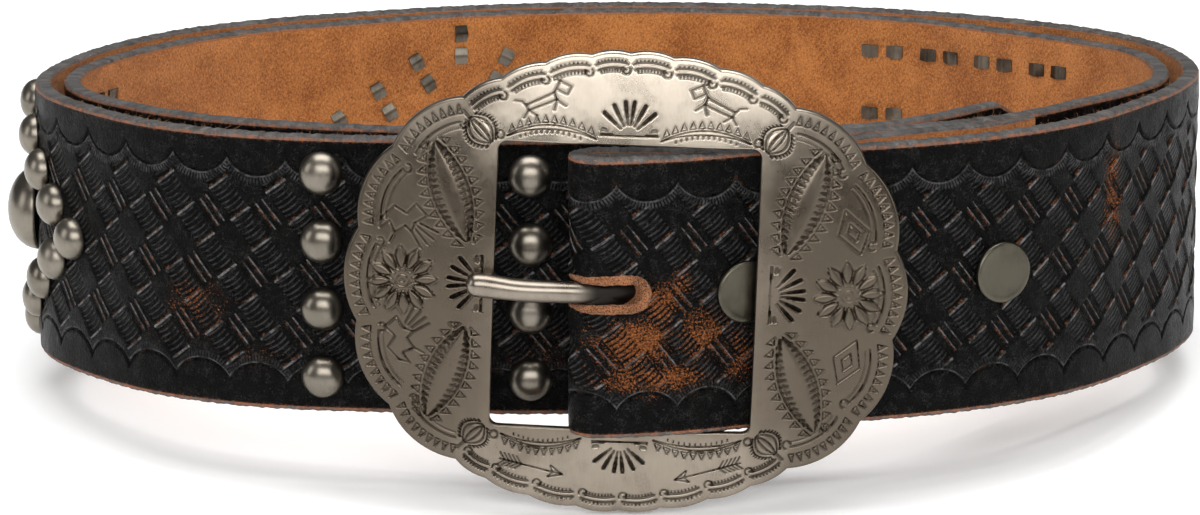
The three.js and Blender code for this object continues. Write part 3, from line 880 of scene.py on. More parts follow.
def window_arc(face, start, middle, end):
    """A double arc with dotted triangles above it and teeth below, and a small circle at its outer end."""
    a, b, c = (np.array(q, float) for q in (start, middle, end))
    control = 2 * b - (a + c) / 2
    out = 1 if middle[1] > 0 else -1

    def along(t, lift):
        t = min(max(t, 0.0), 1.0)
        p = (1 - t) ** 2 * a + 2 * t * (1 - t) * control + t**2 * c
        return (p[0], p[1] + out * lift)

    ts = np.linspace(0, 1, 17)
    face.line(*[along(t, 0) for t in ts], width=0.9)
    face.line(*[along(t, -0.75 * math.sin(math.pi * t)) for t in ts], width=0.8)
    face.triangles(lambda t: along(t, 0.45), lambda t: along(t, 1.75), 10, 0.38)
    for i in range(12):
        t = 0.16 + 0.68 * i / 11
        face.line(along(t, -0.9), along(t, -1.35), width=0.7)
    outer_end = start if start[0] < 0 and abs(start[0]) > abs(end[0]) else end
    face.ring((outer_end[0] + math.copysign(1.3, outer_end[0]), outer_end[1] + out * 0.2), 0.72)


def arrow_stamp(face, tail, head):
    axis = (head - tail) / np.linalg.norm(head - tail)
    side = np.array([-axis[1], axis[0]])
    face.line(tail, head, width=0.85)
    for way in (1, -1):
        face.line(head, head - axis * 2.3 + side * way * 1.1, width=0.9)
        for i in range(5):
            foot = tail + axis * (0.9 + 0.75 * i)
            face.line(foot, foot - axis * 1.15 + side * way * 1.25, width=0.75)
    face.line(head - axis * 2.3 + side * 1.1, head - axis * 1.7, head - axis * 2.3 - side * 1.1, width=0.8)


PLATE_PER_LONG_LOBE = 36
PLATE_PER_SHORT_LOBE = 84
PLATE_ROWS = 112
RIM_ROUND = 0.5


def plate_mesh(stamping, first_lobe, lobe_count):
    """Points, faces and marks of part of the scalloped plate: a stamped face, round edges, a plain back."""
    rim = []
    for lobe in range(first_lobe, first_lobe + lobe_count):
        steps = PLATE_PER_SHORT_LOBE if on_short_side(lobe) else PLATE_PER_LONG_LOBE
        rim += [rim_point(lobe, i / steps) for i in range(steps)]
    rim = np.array(rim + [rim_point(first_lobe + lobe_count, 0)])
    window = np.array([window_point(math.atan2(z, x)) for x, z in rim])
    reach = rim - window
    width = np.linalg.norm(reach, axis=1)[:, None]
    t = np.linspace(0, 1, PLATE_ROWS)[None, :]
    first, last = RIM_ROUND / width, 1 - RIM_ROUND / width
    t = first + (last - first) * t
    x = window[:, :1] + reach[:, :1] * t
    z = window[:, 1:] + reach[:, 1:] * t
    depth, struck = stamping.relief(x.ravel(), z.ravel())
    front = plate_front(x, z) + depth.reshape(x.shape)
    edge_angles = np.radians([30, 60, 90])[None, :]
    rings = [(x, front, z, struck.reshape(x.shape))]

    def rounded(at, away):
        """Columns of an edge's rounding from the face on, where away points out of the plate."""
        ex = at[:, :1] - away[:, :1] * RIM_ROUND * (1 - np.sin(edge_angles))
        ez = at[:, 1:] - away[:, 1:] * RIM_ROUND * (1 - np.sin(edge_angles))
        y = plate_front(at[:, :1], at[:, 1:]) + RIM_ROUND * (1 - np.cos(edge_angles))
        return ex, y + 0 * ex, ez

    outward = reach / width
    ex, ey, ez = rounded(rim, outward)
    rings.append((ex, ey, ez, 0 * ex))
    back_round = RIM_ROUND * (1 - np.sin(np.radians([0, 45, 90])))[None, :]
    back_y = plate_front(rim[:, :1], rim[:, 1:]) + PLATE_T - back_round
    rings.append((ex[:, ::-1], back_y, ez[:, ::-1], 0 * ex))
    tb = np.linspace(0.97, 0.03, 3)[None, :]
    xb = window[:, :1] + reach[:, :1] * tb
    zb = window[:, 1:] + reach[:, 1:] * tb
    rings.append((xb, plate_front(xb, zb) + PLATE_T, zb, 0 * xb))
    ex, ey, ez = rounded(window, -outward)
    back_y = plate_front(window[:, :1], window[:, 1:]) + PLATE_T
    back_y = back_y - RIM_ROUND * (1 - np.cos(edge_angles))
    rings.append((ex, back_y, ez, 0 * ex))
    rings.append((ex[:, ::-1], ey[:, ::-1], ez[:, ::-1], 0 * ex))
    px, py, pz, mark = (np.concatenate([r[i] for r in rings], axis=1) for i in range(4))
    points = on_plate(px, py, pz).reshape(-1, 3)
    marks = np.stack([mark, px / PLATE_HALF_W, pz / PLATE_HALF_H], axis=2).reshape(-1, 3)
    return points, tube_faces(len(rim), px.shape[1]), marks


def bar_mesh():
    """The bar that the strap is folded round, its upper end inside the closed fold."""
    half = WINDOW_H / 2 + 1.5
    top = STRAP_W - 1.0 - PLATE_Z
    thin = BAR_R * 0.18
    profile = [(0, -half), (thin - 0.3, -half), (thin, -half + 0.3), (thin, -half + 3.5)]
    profile += [(BAR_R, z) for z in np.linspace(-half + 4.5, top - 1.6, 9)]
    profile += [(thin, top - 0.8), (thin, top - 0.3), (thin - 0.3, top), (0, top)]
    points, faces = lathe(profile, 24)
    return points + [0, BAR_Y, PLATE_Z], faces


# The prong: a loop round the bar and a shank that lies through the window on the frame.
def prong_path():
    z = MID
    reach = PRONG_TIP_X - PLATE_X
    tip_y = plate_front(reach, 0) - PRONG_R - 0.4
    frame_y = plate_front(-WINDOW_W / 2, 0) - PRONG_R - 0.35
    root_y = BAR_Y - PRONG_LOOP_R + PRONG_R
    return np.array([
        (5.6, root_y + 2.3, z + SLOT_LIFT),
        (2.6, root_y + 0.5, z + SLOT_LIFT),
        (-1.5, root_y - 0.4, z + SLOT_LIFT),
        (-6, root_y - 1.0, z + PRONG_RISE * 0.42),
        (-14, frame_y, z + PRONG_RISE * 0.62),
        (PRONG_TIP_X + 3, tip_y + 0.02, z + PRONG_RISE * 0.92),
        (PRONG_TIP_X - 0.4, tip_y, z + PRONG_RISE),
    ])


def through(points, count):
    """A smooth curve through points: count places and directions."""
    given = np.linspace(0, 1, len(points))
    t = np.linspace(0, 1, count)
    slopes = np.gradient(points, given, axis=0)
    k = np.minimum((t * (len(points) - 1)).astype(int), len(points) - 2)
    h = 1 / (len(points) - 1)
    w = ((t - given[k]) / h)[:, None]
    a, b, ma, mb = points[k], points[k + 1], slopes[k] * h, slopes[k + 1] * h
    p = (2 * w**3 - 3 * w**2 + 1) * a + (w**3 - 2 * w**2 + w) * ma
    p += (-2 * w**3 + 3 * w**2) * b + (w**3 - w**2) * mb
    d = np.gradient(p, axis=0)
    return p, d / np.linalg.norm(d, axis=1)[:, None]


def prong_mesh(radius):
    """The shank, a little flattened and rounded off at its tip, and the loop round the bar."""
    p, d = through(prong_path(), 44)
    sides = 28
    left = np.linalg.norm(p - p[-1], axis=1)
    round_off = np.sqrt(np.clip(1 - np.clip(1 - left / radius, 0, 1) ** 2, 0.0004, 1))
    swell = 1 + 0.13 * np.exp(-(((p[:, 0] - PRONG_TIP_X - 3) / 3.5) ** 2))
    up = np.array([0, 0, 1.0])
    side = np.cross(d, up)
    side /= np.linalg.norm(side, axis=1)[:, None]
    up_at = np.cross(side, d)
    a = np.linspace(0, 2 * np.pi, sides, endpoint=False)
    across = np.cos(a)[None, :, None] * side[:, None, :] * (radius * 0.96)
    upward = np.sin(a)[None, :, None] * up_at[:, None, :] * (radius * 0.99)
    points = p[:, None, :] + (across + upward) * (round_off * swell)[:, None, None]
    faces = tube_faces(len(p), sides)
    points = points.reshape(-1, 3)
    if signed_volume(points - points.mean(axis=0), faces) < 0:
        faces = [f[::-1] for f in faces]
    outer, inner, half = PRONG_LOOP_R, BAR_R + 0.3, PRONG_LOOP_H / 2
    corner, bevel = 0.7, 0.2
    ring = [(outer - corner, -half), (outer - bevel, -half + bevel), (outer, -half + corner), (outer, 0)]
    ring += [(outer, half - corner), (outer - bevel, half - bevel), (outer - corner, half)]
    ring += [(inner + bevel, half), (inner, half - bevel), (inner, 0), (inner, bevel - half)]
    ring += [(inner + bevel, -half)]
    turns = 40
    angle = np.linspace(0, 2 * np.pi, turns, endpoint=False)
    loop = np.array([
        [(r * math.cos(t), r * math.sin(t) + BAR_Y, z + MID) for r, z in ring] for t in angle
    ]).reshape(-1, 3)
    loop_faces = [tuple(f) for f in grid_faces(turns, len(ring), True, True)]
    if signed_volume(loop - loop.mean(axis=0), loop_faces) < 0:
        loop_faces = [f[::-1] for f in loop_faces]
    count = len(points)
    return np.vstack([points, loop]), faces + [tuple(i + count for i in f) for f in loop_faces]


# Copies placed on points by one Geometry Nodes tree.
def once(name):
    """Makes a function build the named node group only where the file doesn't have it yet."""
    def wrap(build):
        return lambda: bpy.data.node_groups.get(name) or build(name)
    return wrap


@once("Place copies")
def copies_tree(name):
    """Places one piece on every point: its z along the point's aim, its x towards the point's along."""
    tree = bpy.data.node_groups.new(name, "GeometryNodeTree")
    face = tree.interface
    face.new_socket(name="Geometry", in_out="INPUT", socket_type="NodeSocketGeometry")
    for label, kind, value in (
        ("Piece", "NodeSocketObject", None),
        ("Width", "NodeSocketFloat", 1.0),
        ("Height", "NodeSocketFloat", 1.0),
        ("Tilt", "NodeSocketFloat", 0.0),
        ("Seed", "NodeSocketInt", 7),
        ("Finish", "NodeSocketMaterial", None),
    ):
        socket = face.new_socket(name=label, in_out="INPUT", socket_type=kind)
        if value is not None:
            socket.default_value = value
    face.new_socket(name="Geometry", in_out="OUTPUT", socket_type="NodeSocketGeometry")
    add, link = tree.nodes.new, tree.links.new
    given, result = add("NodeGroupInput"), add("NodeGroupOutput")
    piece = add("GeometryNodeObjectInfo")
    link(given.outputs["Piece"], piece.inputs["Object"])
    fields = {}
    for key in ("aim", "along", "size"):
        field = add("GeometryNodeInputNamedAttribute")
        field.data_type = "FLOAT_VECTOR"
        field.inputs["Name"].default_value = key
        fields[key] = field.outputs["Attribute"]
    upright = add("FunctionNodeAlignRotationToVector")
    upright.axis = "Z"
    link(fields["aim"], upright.inputs["Vector"])
    turned_round = add("FunctionNodeAlignRotationToVector")
    turned_round.axis = "X"
    turned_round.pivot_axis = "Z"
    link(upright.outputs["Rotation"], turned_round.inputs["Rotation"])
    link(fields["along"], turned_round.inputs["Vector"])
    lean = add("FunctionNodeRandomValue")
    lean.data_type = "FLOAT_VECTOR"
    low, high = add("ShaderNodeCombineXYZ"), add("ShaderNodeCombineXYZ")
    negative = add("ShaderNodeMath")
    negative.operation = "MULTIPLY"
    negative.inputs[1].default_value = -1
    link(given.outputs["Tilt"], negative.inputs[0])
    for axis in ("X", "Y"):
        link(negative.outputs[0], low.inputs[axis])
        link(given.outputs["Tilt"], high.inputs[axis])
    link(low.outputs[0], lean.inputs["Min"])
    link(high.outputs[0], lean.inputs["Max"])
    link(given.outputs["Seed"], lean.inputs["Seed"])
    as_turn = add("FunctionNodeEulerToRotation")
    link(lean.outputs["Value"], as_turn.inputs[0])
    tilted = add("FunctionNodeRotateRotation")
    tilted.rotation_space = "LOCAL"
    link(turned_round.outputs["Rotation"], tilted.inputs["Rotation"])
    link(as_turn.outputs[0], tilted.inputs["Rotate By"])
    measure = add("ShaderNodeCombineXYZ")
    for axis, label in (("X", "Width"), ("Y", "Width"), ("Z", "Height")):
        link(given.outputs[label], measure.inputs[axis])
    scale = add("ShaderNodeVectorMath")
    scale.operation = "MULTIPLY"
    link(measure.outputs[0], scale.inputs[0])
    link(fields["size"], scale.inputs[1])
    put = add("GeometryNodeInstanceOnPoints")
    link(given.outputs["Geometry"], put.inputs["Points"])
    link(piece.outputs["Geometry"], put.inputs["Instance"])
    link(tilted.outputs["Rotation"], put.inputs["Rotation"])
    link(scale.outputs[0], put.inputs["Scale"])
    whole, finish = add("GeometryNodeRealizeInstances"), add("GeometryNodeSetMaterial")
    link(put.outputs["Instances"], whole.inputs["Geometry"])
    link(whole.outputs["Geometry"], finish.inputs["Geometry"])
    link(given.outputs["Finish"], finish.inputs["Material"])
    link(finish.outputs["Geometry"], result.inputs["Geometry"])
    return tree


def place_copies(name, points, aims, alongs, sizes, prototype, finish, tilt=0.0, seed=7):
    """A mesh piece of copies of a prototype, made in mm, on belt-frame points."""
    mesh = bpy.data.meshes.new(name)
    mesh.from_pydata(to_row(points).tolist(), [], [])
    for key, values in (("aim", turned(aims)), ("along", turned(alongs)), ("size", sizes)):
        layer = mesh.attributes.new(key, "FLOAT_VECTOR", "POINT")
        layer.data.foreach_set("vector", np.asarray(values, np.float32).ravel())
    piece = bpy.data.objects.new(name, mesh)
    bpy.context.scene.collection.objects.link(piece)
    tree = copies_tree()
    step = piece.modifiers.new("copies", "NODES")
    step.node_group = tree
    inputs = {s.name: s.identifier for s in tree.interface.items_tree if s.in_out == "INPUT"}
    values = {"Piece": prototype, "Width": MM, "Height": MM, "Tilt": tilt, "Seed": seed, "Finish": finish}
    for label, value in values.items():
        step[inputs[label]] = value
    plain_mesh(piece)
    piece.data.polygons.foreach_set("use_smooth", np.ones(len(piece.data.polygons), bool))
    piece.data.set_sharp_from_angle(angle=math.radians(60))
    bpy.data.objects.remove(prototype)
    return piece


def prototype(points, faces):
    """A small piece in its own mm, to be copied."""
    mesh = bpy.data.meshes.new("prototype")
    mesh.from_pydata(np.asarray(points, float).tolist(), [], [tuple(f) for f in faces])
    piece = bpy.data.objects.new("prototype", mesh)
    bpy.context.scene.collection.objects.link(piece)
    return piece


# Studs, caps, the studs' clinched ends and loose fibres.
def square_motif():
    """Offsets along and up of a square outline, four studs to a side."""
    c = (-1.5, -0.5, 0.5, 1.5)
    places = [(u, v) for u in c for v in c if abs(u) == 1.5 or abs(v) == 1.5]
    return [(u * SQUARE_PITCH_ALONG, v * SQUARE_PITCH) for u, v in places]


def diamond_motif(along=DIAMOND_ALONG):
    """Offsets of a diamond outline, four steps to a side."""
    places = [(u, v) for u in range(-4, 5) for v in range(-4, 5) if abs(u) + abs(v) == 4]
    return [(u * along, v * DIAMOND_UP) for u, v in places]


def on_strap(places, lift, side=1):
    """Points above the strap's grain side, or its suede side for -1, with directions and normals there."""
    s = np.array([q[0] for q in places])
    p, d, n = ROUTE.station(s)
    p = p + side * n * (STRAP_T / 2 + lift)
    p[:, 2] = [q[1] for q in places]
    return p, d, side * n


def dome():
    """A dome of radius 1 and height 1 with a short upright skirt."""
    skirt = 0.1
    profile = [(0, 0), (0.98, 0), (1.0, skirt * 0.5)]
    for a in np.linspace(0, math.pi / 2, 9)[:-1]:
        profile.append((math.cos(a) ** 0.92, skirt + (1 - skirt) * math.sin(a) ** 1.05))
    profile.append((0, 1))
    return lathe(profile, 28)


STUD_SUNK = 0.25


def stud_piece(name, s0, motif, big, sizes, finish):
    """One motif of dome studs round a place along the strap, with a large one in its middle or without."""
    places = [(s0 + u, MID + v) for u, v in motif]
    radius = sizes.stud_width / 2 / MM
    measure = [(radius, radius, sizes.stud_height / MM)] * len(places)
    if big:
        places.append((s0, MID))
        measure.append((BIG_STUD_D / 2, BIG_STUD_D / 2, BIG_STUD_H))
    p, d, n = on_strap(places, -STUD_SUNK)
    return place_copies(name, p, n, d, measure, prototype(*dome()), finish)


def cap_mesh():
    """A flat cap with a rounded rim, on a short post."""
    r, post_r, round_r, wall = CAP_D / 2, 2.2, 0.62, 0.55
    profile = [(0, -1.4), (post_r, -1.4), (post_r, 0), (r - 0.25, 0), (r, 0.25), (r, wall)]
    for a in np.radians(np.linspace(0, 90, 6)[1:]):
        profile.append((r - round_r + round_r * math.cos(a), wall + round_r * math.sin(a)))
    profile += [(r - 1.1, 1.1), (r - 1.7, 1.05), (r * 0.35, 1.1), (0, 1.1)]
    return lathe(profile, 64)


def strip():
    """A clinched end: a short strip of sheet bent up in its middle, in mm."""
    half_length, half_width, thick = 1.65, 1.3, 0.35
    xs = np.linspace(-half_length, half_length, 7)
    rise = 0.2 + 0.5 * np.cos(xs / half_length * math.pi / 2) ** 2
    points = []
    for x, z in zip(xs, rise):
        for y, dz in ((-half_width, 0), (half_width, 0), (half_width, thick), (-half_width, thick)):
            points.append((x, y * (1 - 0.12 * abs(x) / half_length), z + dz - 0.2))
    faces = tube_faces(len(xs), 4)
    if signed_volume(np.array(points), faces) < 0:
        faces = [f[::-1] for f in faces]
    return points, faces


CLINCH_HALF_SPAN = 2.55
CLINCH_DIAMOND_X = -27.8
CLINCH_DIAMOND_ALONG = 8.1
CLINCH_WAY = (0.47, 0.88)
CLINCH_DROP = 1.2
CLINCH_FROM_EDGE = 2.2


def clinch_places():
    """Where the studs of the inner turn are clinched on the suede: places and the way each strip points."""
    right = ROUTE.where(lambda p: -p[:, 0], LEFT_END_S + 100, LEFT_END_S + 420)
    left = ROUTE.where(lambda p: p[:, 0], right + 100, ROUTE.length)
    diamond_s = ROUTE.where(lambda p: abs(p[:, 0] - CLINCH_DIAMOND_X), right, left)
    places, ways = [], []
    for u, v in diamond_motif(CLINCH_DIAMOND_ALONG):
        way = np.array([np.sign(u) * np.sign(v) * CLINCH_WAY[0], CLINCH_WAY[1]])
        for step in (way * CLINCH_HALF_SPAN, -way * CLINCH_HALF_SPAN):
            places.append((diamond_s + u + step[0], MID - CLINCH_DROP + v + step[1]))
            ways.append(way / np.linalg.norm(way))
    for centre in (diamond_s - MOTIF_PITCH, diamond_s + MOTIF_PITCH):
        for u, v in square_motif():
            for side in (1, -1):
                places.append((centre + u + side * CLINCH_HALF_SPAN, MID + v))
                ways.append(np.array([1.0, 0.0]))
    inside = (CLINCH_FROM_EDGE, STRAP_W - CLINCH_FROM_EDGE)
    kept = [(q, w) for q, w in zip(places, ways) if inside[0] < q[1] < inside[1]]
    return [q for q, _ in kept], [w for _, w in kept]


def fibre():
    """A thin curved hair of length 1 and width 1 at its foot."""
    points, faces = [], []
    for i, t in enumerate((0, 0.4, 0.75)):
        r = 0.5 * (1 - 0.55 * t)
        for k in range(3):
            a = 2 * math.pi * k / 3
            points.append((r * math.cos(a) + 6 * t * t, r * math.sin(a), t))
    points.append((10, 0, 1))
    for i in range(2):
        for k in range(3):
            m = (k + 1) % 3
            faces.append((3 * i + k, 3 * i + m, 3 * i + 3 + m, 3 * i + 3 + k))
    faces += [(6 + k, 6 + (k + 1) % 3, 9) for k in range(3)] + [(2, 1, 0)]
    return points, faces


FIBRE_WIDTH = 0.045


def edge_fibres(count, seed):
    """Loose fibres along the strap's edges: points, ways they stand, and sizes."""
    rng = np.random.default_rng(seed)
    s = rng.uniform(2, ROUTE.length - 32, count)
    p, d, n = ROUTE.station(s)
    top = (rng.random(count) < 0.72) | (p[:, 1] > -8)
    suede = rng.random(count) < 0.75
    across = np.where(suede, rng.uniform(-1.58, -1.0, count), rng.uniform(0.9, 1.45, count))
    p = p + n * across[:, None]
    p[:, 2] = np.where(top, STRAP_W - 0.12, 0.12) - np.where(suede, 0.1, 0.25) * np.where(top, 1, -1)
    up = np.where(top, 1.0, -1.0)[:, None] * np.array([0, 0, 1.0])
    aim = up * rng.uniform(0.2, 1, (count, 1))
    aim += n * np.sign(across)[:, None] * rng.uniform(0, 1.1, (count, 1))
    aim += d * rng.normal(0, 0.7, (count, 1))
    length = rng.gamma(2.2, 0.26, count).clip(0.2, 1.7)
    size = np.column_stack([np.full(count, FIBRE_WIDTH)] * 2 + [length])
    return p, aim / np.linalg.norm(aim, axis=1)[:, None], rng.normal(0, 1, (count, 3)), size


def slot_fibres(count, seed):
    """Loose fibres on the raw lips of the slot."""
    rng = np.random.default_rng(seed)
    x = rng.uniform(-3, SLOT_END_X - 0.6, count)
    s = np.interp(x, *front_s_table())
    p, d, n = ROUTE.station(s)
    upper = rng.random(count) < 0.5
    round_part = np.clip((x - SLOT_END_X + SLOT_HALF) / SLOT_HALF, 0, 1)
    half = (SLOT_HALF + 0.7) * np.sqrt(np.clip(1 - round_part**2, 0, 1))
    deep = rng.uniform(0, 1, count)
    p = p + n * (STRAP_T / 2 + 0.3 - 1.5 * deep)[:, None]
    p[:, 2] = MID + SLOT_LIFT + np.where(upper, 1, -1) * (half - 1.2 * deep)
    aim = n * rng.uniform(0.1, 0.8, (count, 1)) + d * rng.normal(0, 0.5, (count, 1))
    aim[:, 2] -= np.where(upper, 1, -1) * rng.uniform(-0.1, 0.7, count)
    size = np.column_stack([np.full(count, FIBRE_WIDTH)] * 2 + [rng.uniform(0.25, 0.8, count)])
    return p, aim / np.linalg.norm(aim, axis=1)[:, None], rng.normal(0, 1, (count, 3)), size


def prism(name, outline_far, outline_near, material):
    """A closed cutter between two outlines of the same number of belt-frame points."""
    count = len(outline_far)
    points = np.vstack([outline_far, outline_near])
    faces = [(i, (i + 1) % count, count + (i + 1) % count, count + i) for i in range(count)]
    faces += [tuple(range(count))[::-1], tuple(range(count, 2 * count))]
    return make_piece(name, points, faces, [material])


SLOT_HALF = 2.55
SLOT_INNER_HALF = 2.35
SLOT_ARC_STEPS = 20


def slot_outline(y, half, end_x, start_x=-12):
    """Stadium outline of the prong's slot at depth y, open end square."""
    angles = np.linspace(-math.pi / 2, math.pi / 2, SLOT_ARC_STEPS)
    z = MID + SLOT_LIFT
    arc = [(end_x - half + half * math.cos(a), y, z + half * math.sin(a)) for a in angles]
    return np.array([(start_x, y, z - half)] + arc + [(start_x, y, z + half)])


def slot_lip(material):
    """The raw, rounded rim that stands a little proud of the grain round the slot's end."""
    reach, rise, sides = 0.9, 0.6, 12
    path = slot_outline(0, SLOT_HALF + 0.1, SLOT_END_X - 0.85, -5.0)
    path = np.vstack([
        path[:1] + (path[1] - path[0]) * np.linspace(0, 0.95, 16)[:, None], path[1:-1],
        path[-2:-1] + (path[-1] - path[-2]) * np.linspace(0.05, 1, 16)[:, None],
    ])
    s = np.interp(path[:, 0], *front_s_table())
    p, _, n = ROUTE.station(s)
    along = np.gradient(path[:, [0, 2]], axis=0)
    along /= np.linalg.norm(along, axis=1)[:, None]
    away = np.column_stack([along[:, 1], 0 * s, -along[:, 0]])
    fade = np.sqrt(np.clip((path[:, 0] + 5.2) / 5.0, 0.01, 1))
    a = np.linspace(0, 2 * np.pi, sides, endpoint=False)
    centre = p + n * (STRAP_T / 2 - 0.25)
    centre[:, 2] = path[:, 2]
    rough = 1 + 0.13 * np.sin(np.arange(len(s)) * 1.9) * np.sin(np.arange(len(s)) * 0.7)
    out = (reach * fade * rough)[:, None, None] * np.cos(a)[None, :, None] * away[:, None, :]
    up = (rise * fade * rough)[:, None, None] * np.sin(a)[None, :, None] * n[:, None, :]
    points = (centre[:, None, :] + out + up).reshape(-1, 3)
    return make_piece("slot_lip", points, tube_faces(len(s), sides), [material])


def slot_cutter(material):
    """The prong's slot, wide at the grain side and narrower inside, where the raw leather shows."""
    face_y = BAR_Y - FOLD_R - STRAP_T / 2
    slope = (SLOT_HALF - SLOT_INNER_HALF) / STRAP_T
    over = 1.5
    outer = slot_outline(face_y - over, SLOT_HALF + over * slope, SLOT_END_X + 0.3)
    inner = slot_outline(face_y + STRAP_T * 1.1, SLOT_INNER_HALF, SLOT_END_X - 2.6)
    return prism("slot_cutter", outer, inner, material)


def back_of_slot_cutter(material):
    """The rest of the slot, straight through the fold behind the bar."""
    y0, y1 = BAR_Y - FOLD_R + 1.0, BAR_Y + FOLD_R + 4.4
    end_x, half = SLOT_END_X - 2.7, SLOT_INNER_HALF - 0.02
    outlines = [slot_outline(y, half, end_x) for y in (y0, y1)]
    return prism("back_of_slot_cutter", *outlines, material)


FOLD_FILLER_REACH = 52
FOLD_FILLER_TOP = 0.55
FOLD_FILLER_DEEP = 1.8


def fold_filler():
    """Leather that closes the gap between the fold's two layers, at both edges of the strap."""
    u = np.linspace(0.5, FOLD_FILLER_REACH, 60)
    one = ROUTE.station(BAR_S - u)[0]
    other = ROUTE.station(BAR_S + u)[0]
    rings = np.stack([one, other, other, one], axis=1)
    points, faces = [], []
    slabs = ((FOLD_FILLER_TOP, FOLD_FILLER_DEEP), (STRAP_W - FOLD_FILLER_DEEP, STRAP_W - FOLD_FILLER_TOP))
    for low, high in slabs:
        slab = rings.copy()
        slab[:, :2, 2] = low
        slab[:, 2:, 2] = high
        first = 4 * len(u) * len(points)
        points.append(slab.reshape(-1, 3))
        faces += [tuple(first + i for i in f) for f in tube_faces(len(u), 4)]
    return np.vstack(points), faces


def hole_cutter(s, material):
    """A belt hole, drawn through the strap along its normal."""
    p, d, n = (v[0] for v in ROUTE.station(s))
    angles = np.linspace(0, 2 * math.pi, 24, endpoint=False)
    up = np.array([0, 0, 1.0])
    ring = np.array([(d * math.cos(a) + up * math.sin(a)) * BELT_HOLE_D / 2 for a in angles])
    centre = p + up * MID
    return prism("hole_cutter", centre + ring - n * STRAP_T, centre + ring + n * STRAP_T, material)


# Finishes.
def srgb(red, green, blue):
    """A colour of 0 to 255 as the shader's linear colour."""
    linear = [((c / 255 + 0.055) / 1.055) ** 2.4 if c > 10 else c / 255 / 12.92 for c in (red, green, blue)]
    return (*linear, 1.0)


class Wires:
    """Short ways to add and link shader nodes in one tree."""

    def __init__(self, tree):
        self.tree = tree

    def node(self, kind, inputs=None, **settings):
        node = self.tree.nodes.new(kind)
        for key, value in settings.items():
            setattr(node, key, value)
        for key, value in (inputs or {}).items():
            self.feed(node.inputs[key], value)
        return node

    def feed(self, socket, value):
        if isinstance(value, bpy.types.NodeSocket):
            self.tree.links.new(value, socket)
        else:
            socket.default_value = value

    def math(self, operation, a, b=0.0, c=0.0, clamp=False):
        node = self.node("ShaderNodeMath", operation=operation, use_clamp=clamp)
        for socket, value in zip(node.inputs, (a, b, c)):
            self.feed(socket, value)
        return node.outputs[0]

    def times(self, a, b):
        return self.math("MULTIPLY", a, b)

    def plus(self, a, b):
        return self.math("ADD", a, b)

    def minus(self, a, b):
        return self.math("SUBTRACT", a, b)

    def most(self, a, b, clamp=False):
        return self.math("MAXIMUM", a, b, clamp=clamp)

    def attribute(self, name):
        return self.node("ShaderNodeAttribute", attribute_name=name).outputs["Vector"]

    def on_object(self):
        return self.node("ShaderNodeTexCoord").outputs["Object"]

    def split(self, vector):
        return self.node("ShaderNodeSeparateXYZ", {0: vector}).outputs

    def mix(self, factor, a, b):
        node = self.node("ShaderNodeMix", data_type="RGBA")
        for index, value in ((0, factor), (6, a), (7, b)):
            self.feed(node.inputs[index], value)
        return node.outputs[2]

    def ramp(self, value, low, high, to_low=0.0, to_high=1.0):
        given = {"Value": value, "From Min": low, "From Max": high, "To Min": to_low, "To Max": to_high}
        return self.node("ShaderNodeMapRange", given, interpolation_type="SMOOTHSTEP").outputs[0]

    def noise(self, place, scale, detail=3.0, roughness=0.5, distortion=0.0):
        given = {"Vector": place, "Scale": scale, "Detail": detail, "Roughness": roughness}
        return self.node("ShaderNodeTexNoise", {**given, "Distortion": distortion}).outputs[0]

    def stretched(self, place, x, y, z, turn=0.0):
        given = {"Vector": place, "Scale": (x, y, z), "Rotation": (0, 0, turn)}
        return self.node("ShaderNodeMapping", given).outputs[0]

    def group(self, tree, inputs):
        node = self.tree.nodes.new("ShaderNodeGroup")
        node.node_tree = tree
        for key, value in inputs.items():
            self.feed(node.inputs[key], value)
        return node.outputs


def effect_group(name, inputs, outputs):
    """A new shader node group of a Place, the given values and outputs: its wires, inputs and outputs."""
    tree = bpy.data.node_groups.new(name, "ShaderNodeTree")
    tree.interface.new_socket(name="Place", in_out="INPUT", socket_type="NodeSocketVector")
    for label, value in inputs.items():
        socket = tree.interface.new_socket(name=label, in_out="INPUT", socket_type="NodeSocketFloat")
        socket.default_value = value
    for label in outputs:
        tree.interface.new_socket(name=label, in_out="OUTPUT", socket_type="NodeSocketFloat")
    wires = Wires(tree)
    return wires, wires.node("NodeGroupInput").outputs, wires.node("NodeGroupOutput").inputs


@once("Leather grain")
def grain_group(name):
    """Fine leather grain and creases, for the grain side, the edges and the suede."""
    w, given, out = effect_group(name, {"Scale": 1.0, "Creases": 0.5}, ("Height", "Tone"))
    pores = w.node("ShaderNodeTexVoronoi", {
        "Vector": given["Place"], "Scale": w.times(given["Scale"], 2.1), "Randomness": 1.0,
    }, feature="F1")
    fine = w.noise(given["Place"], w.times(given["Scale"], 3.4), 4.0, 0.6)
    broad = w.noise(given["Place"], w.times(given["Scale"], 0.35), 3.0, 0.55, 0.4)
    drawn = w.stretched(given["Place"], 1.0, 0.35, 1.0, 0.5)
    crease = w.noise(drawn, w.times(given["Scale"], 0.9), 4.0, 0.6, 1.2)
    ridged = w.math("ABSOLUTE", w.minus(crease, 0.5))
    folds = w.times(w.ramp(ridged, 0.0, 0.05, 1.0, 0.0), given["Creases"])
    height = w.plus(w.times(pores.outputs["Distance"], 0.35), w.times(fine, 0.9))
    height = w.minus(height, w.times(folds, 0.8))
    w.feed(out["Height"], w.plus(height, w.times(broad, 1.2)))
    w.feed(out["Tone"], w.plus(w.times(fine, 0.5), w.times(broad, 0.5)))
    return w.tree


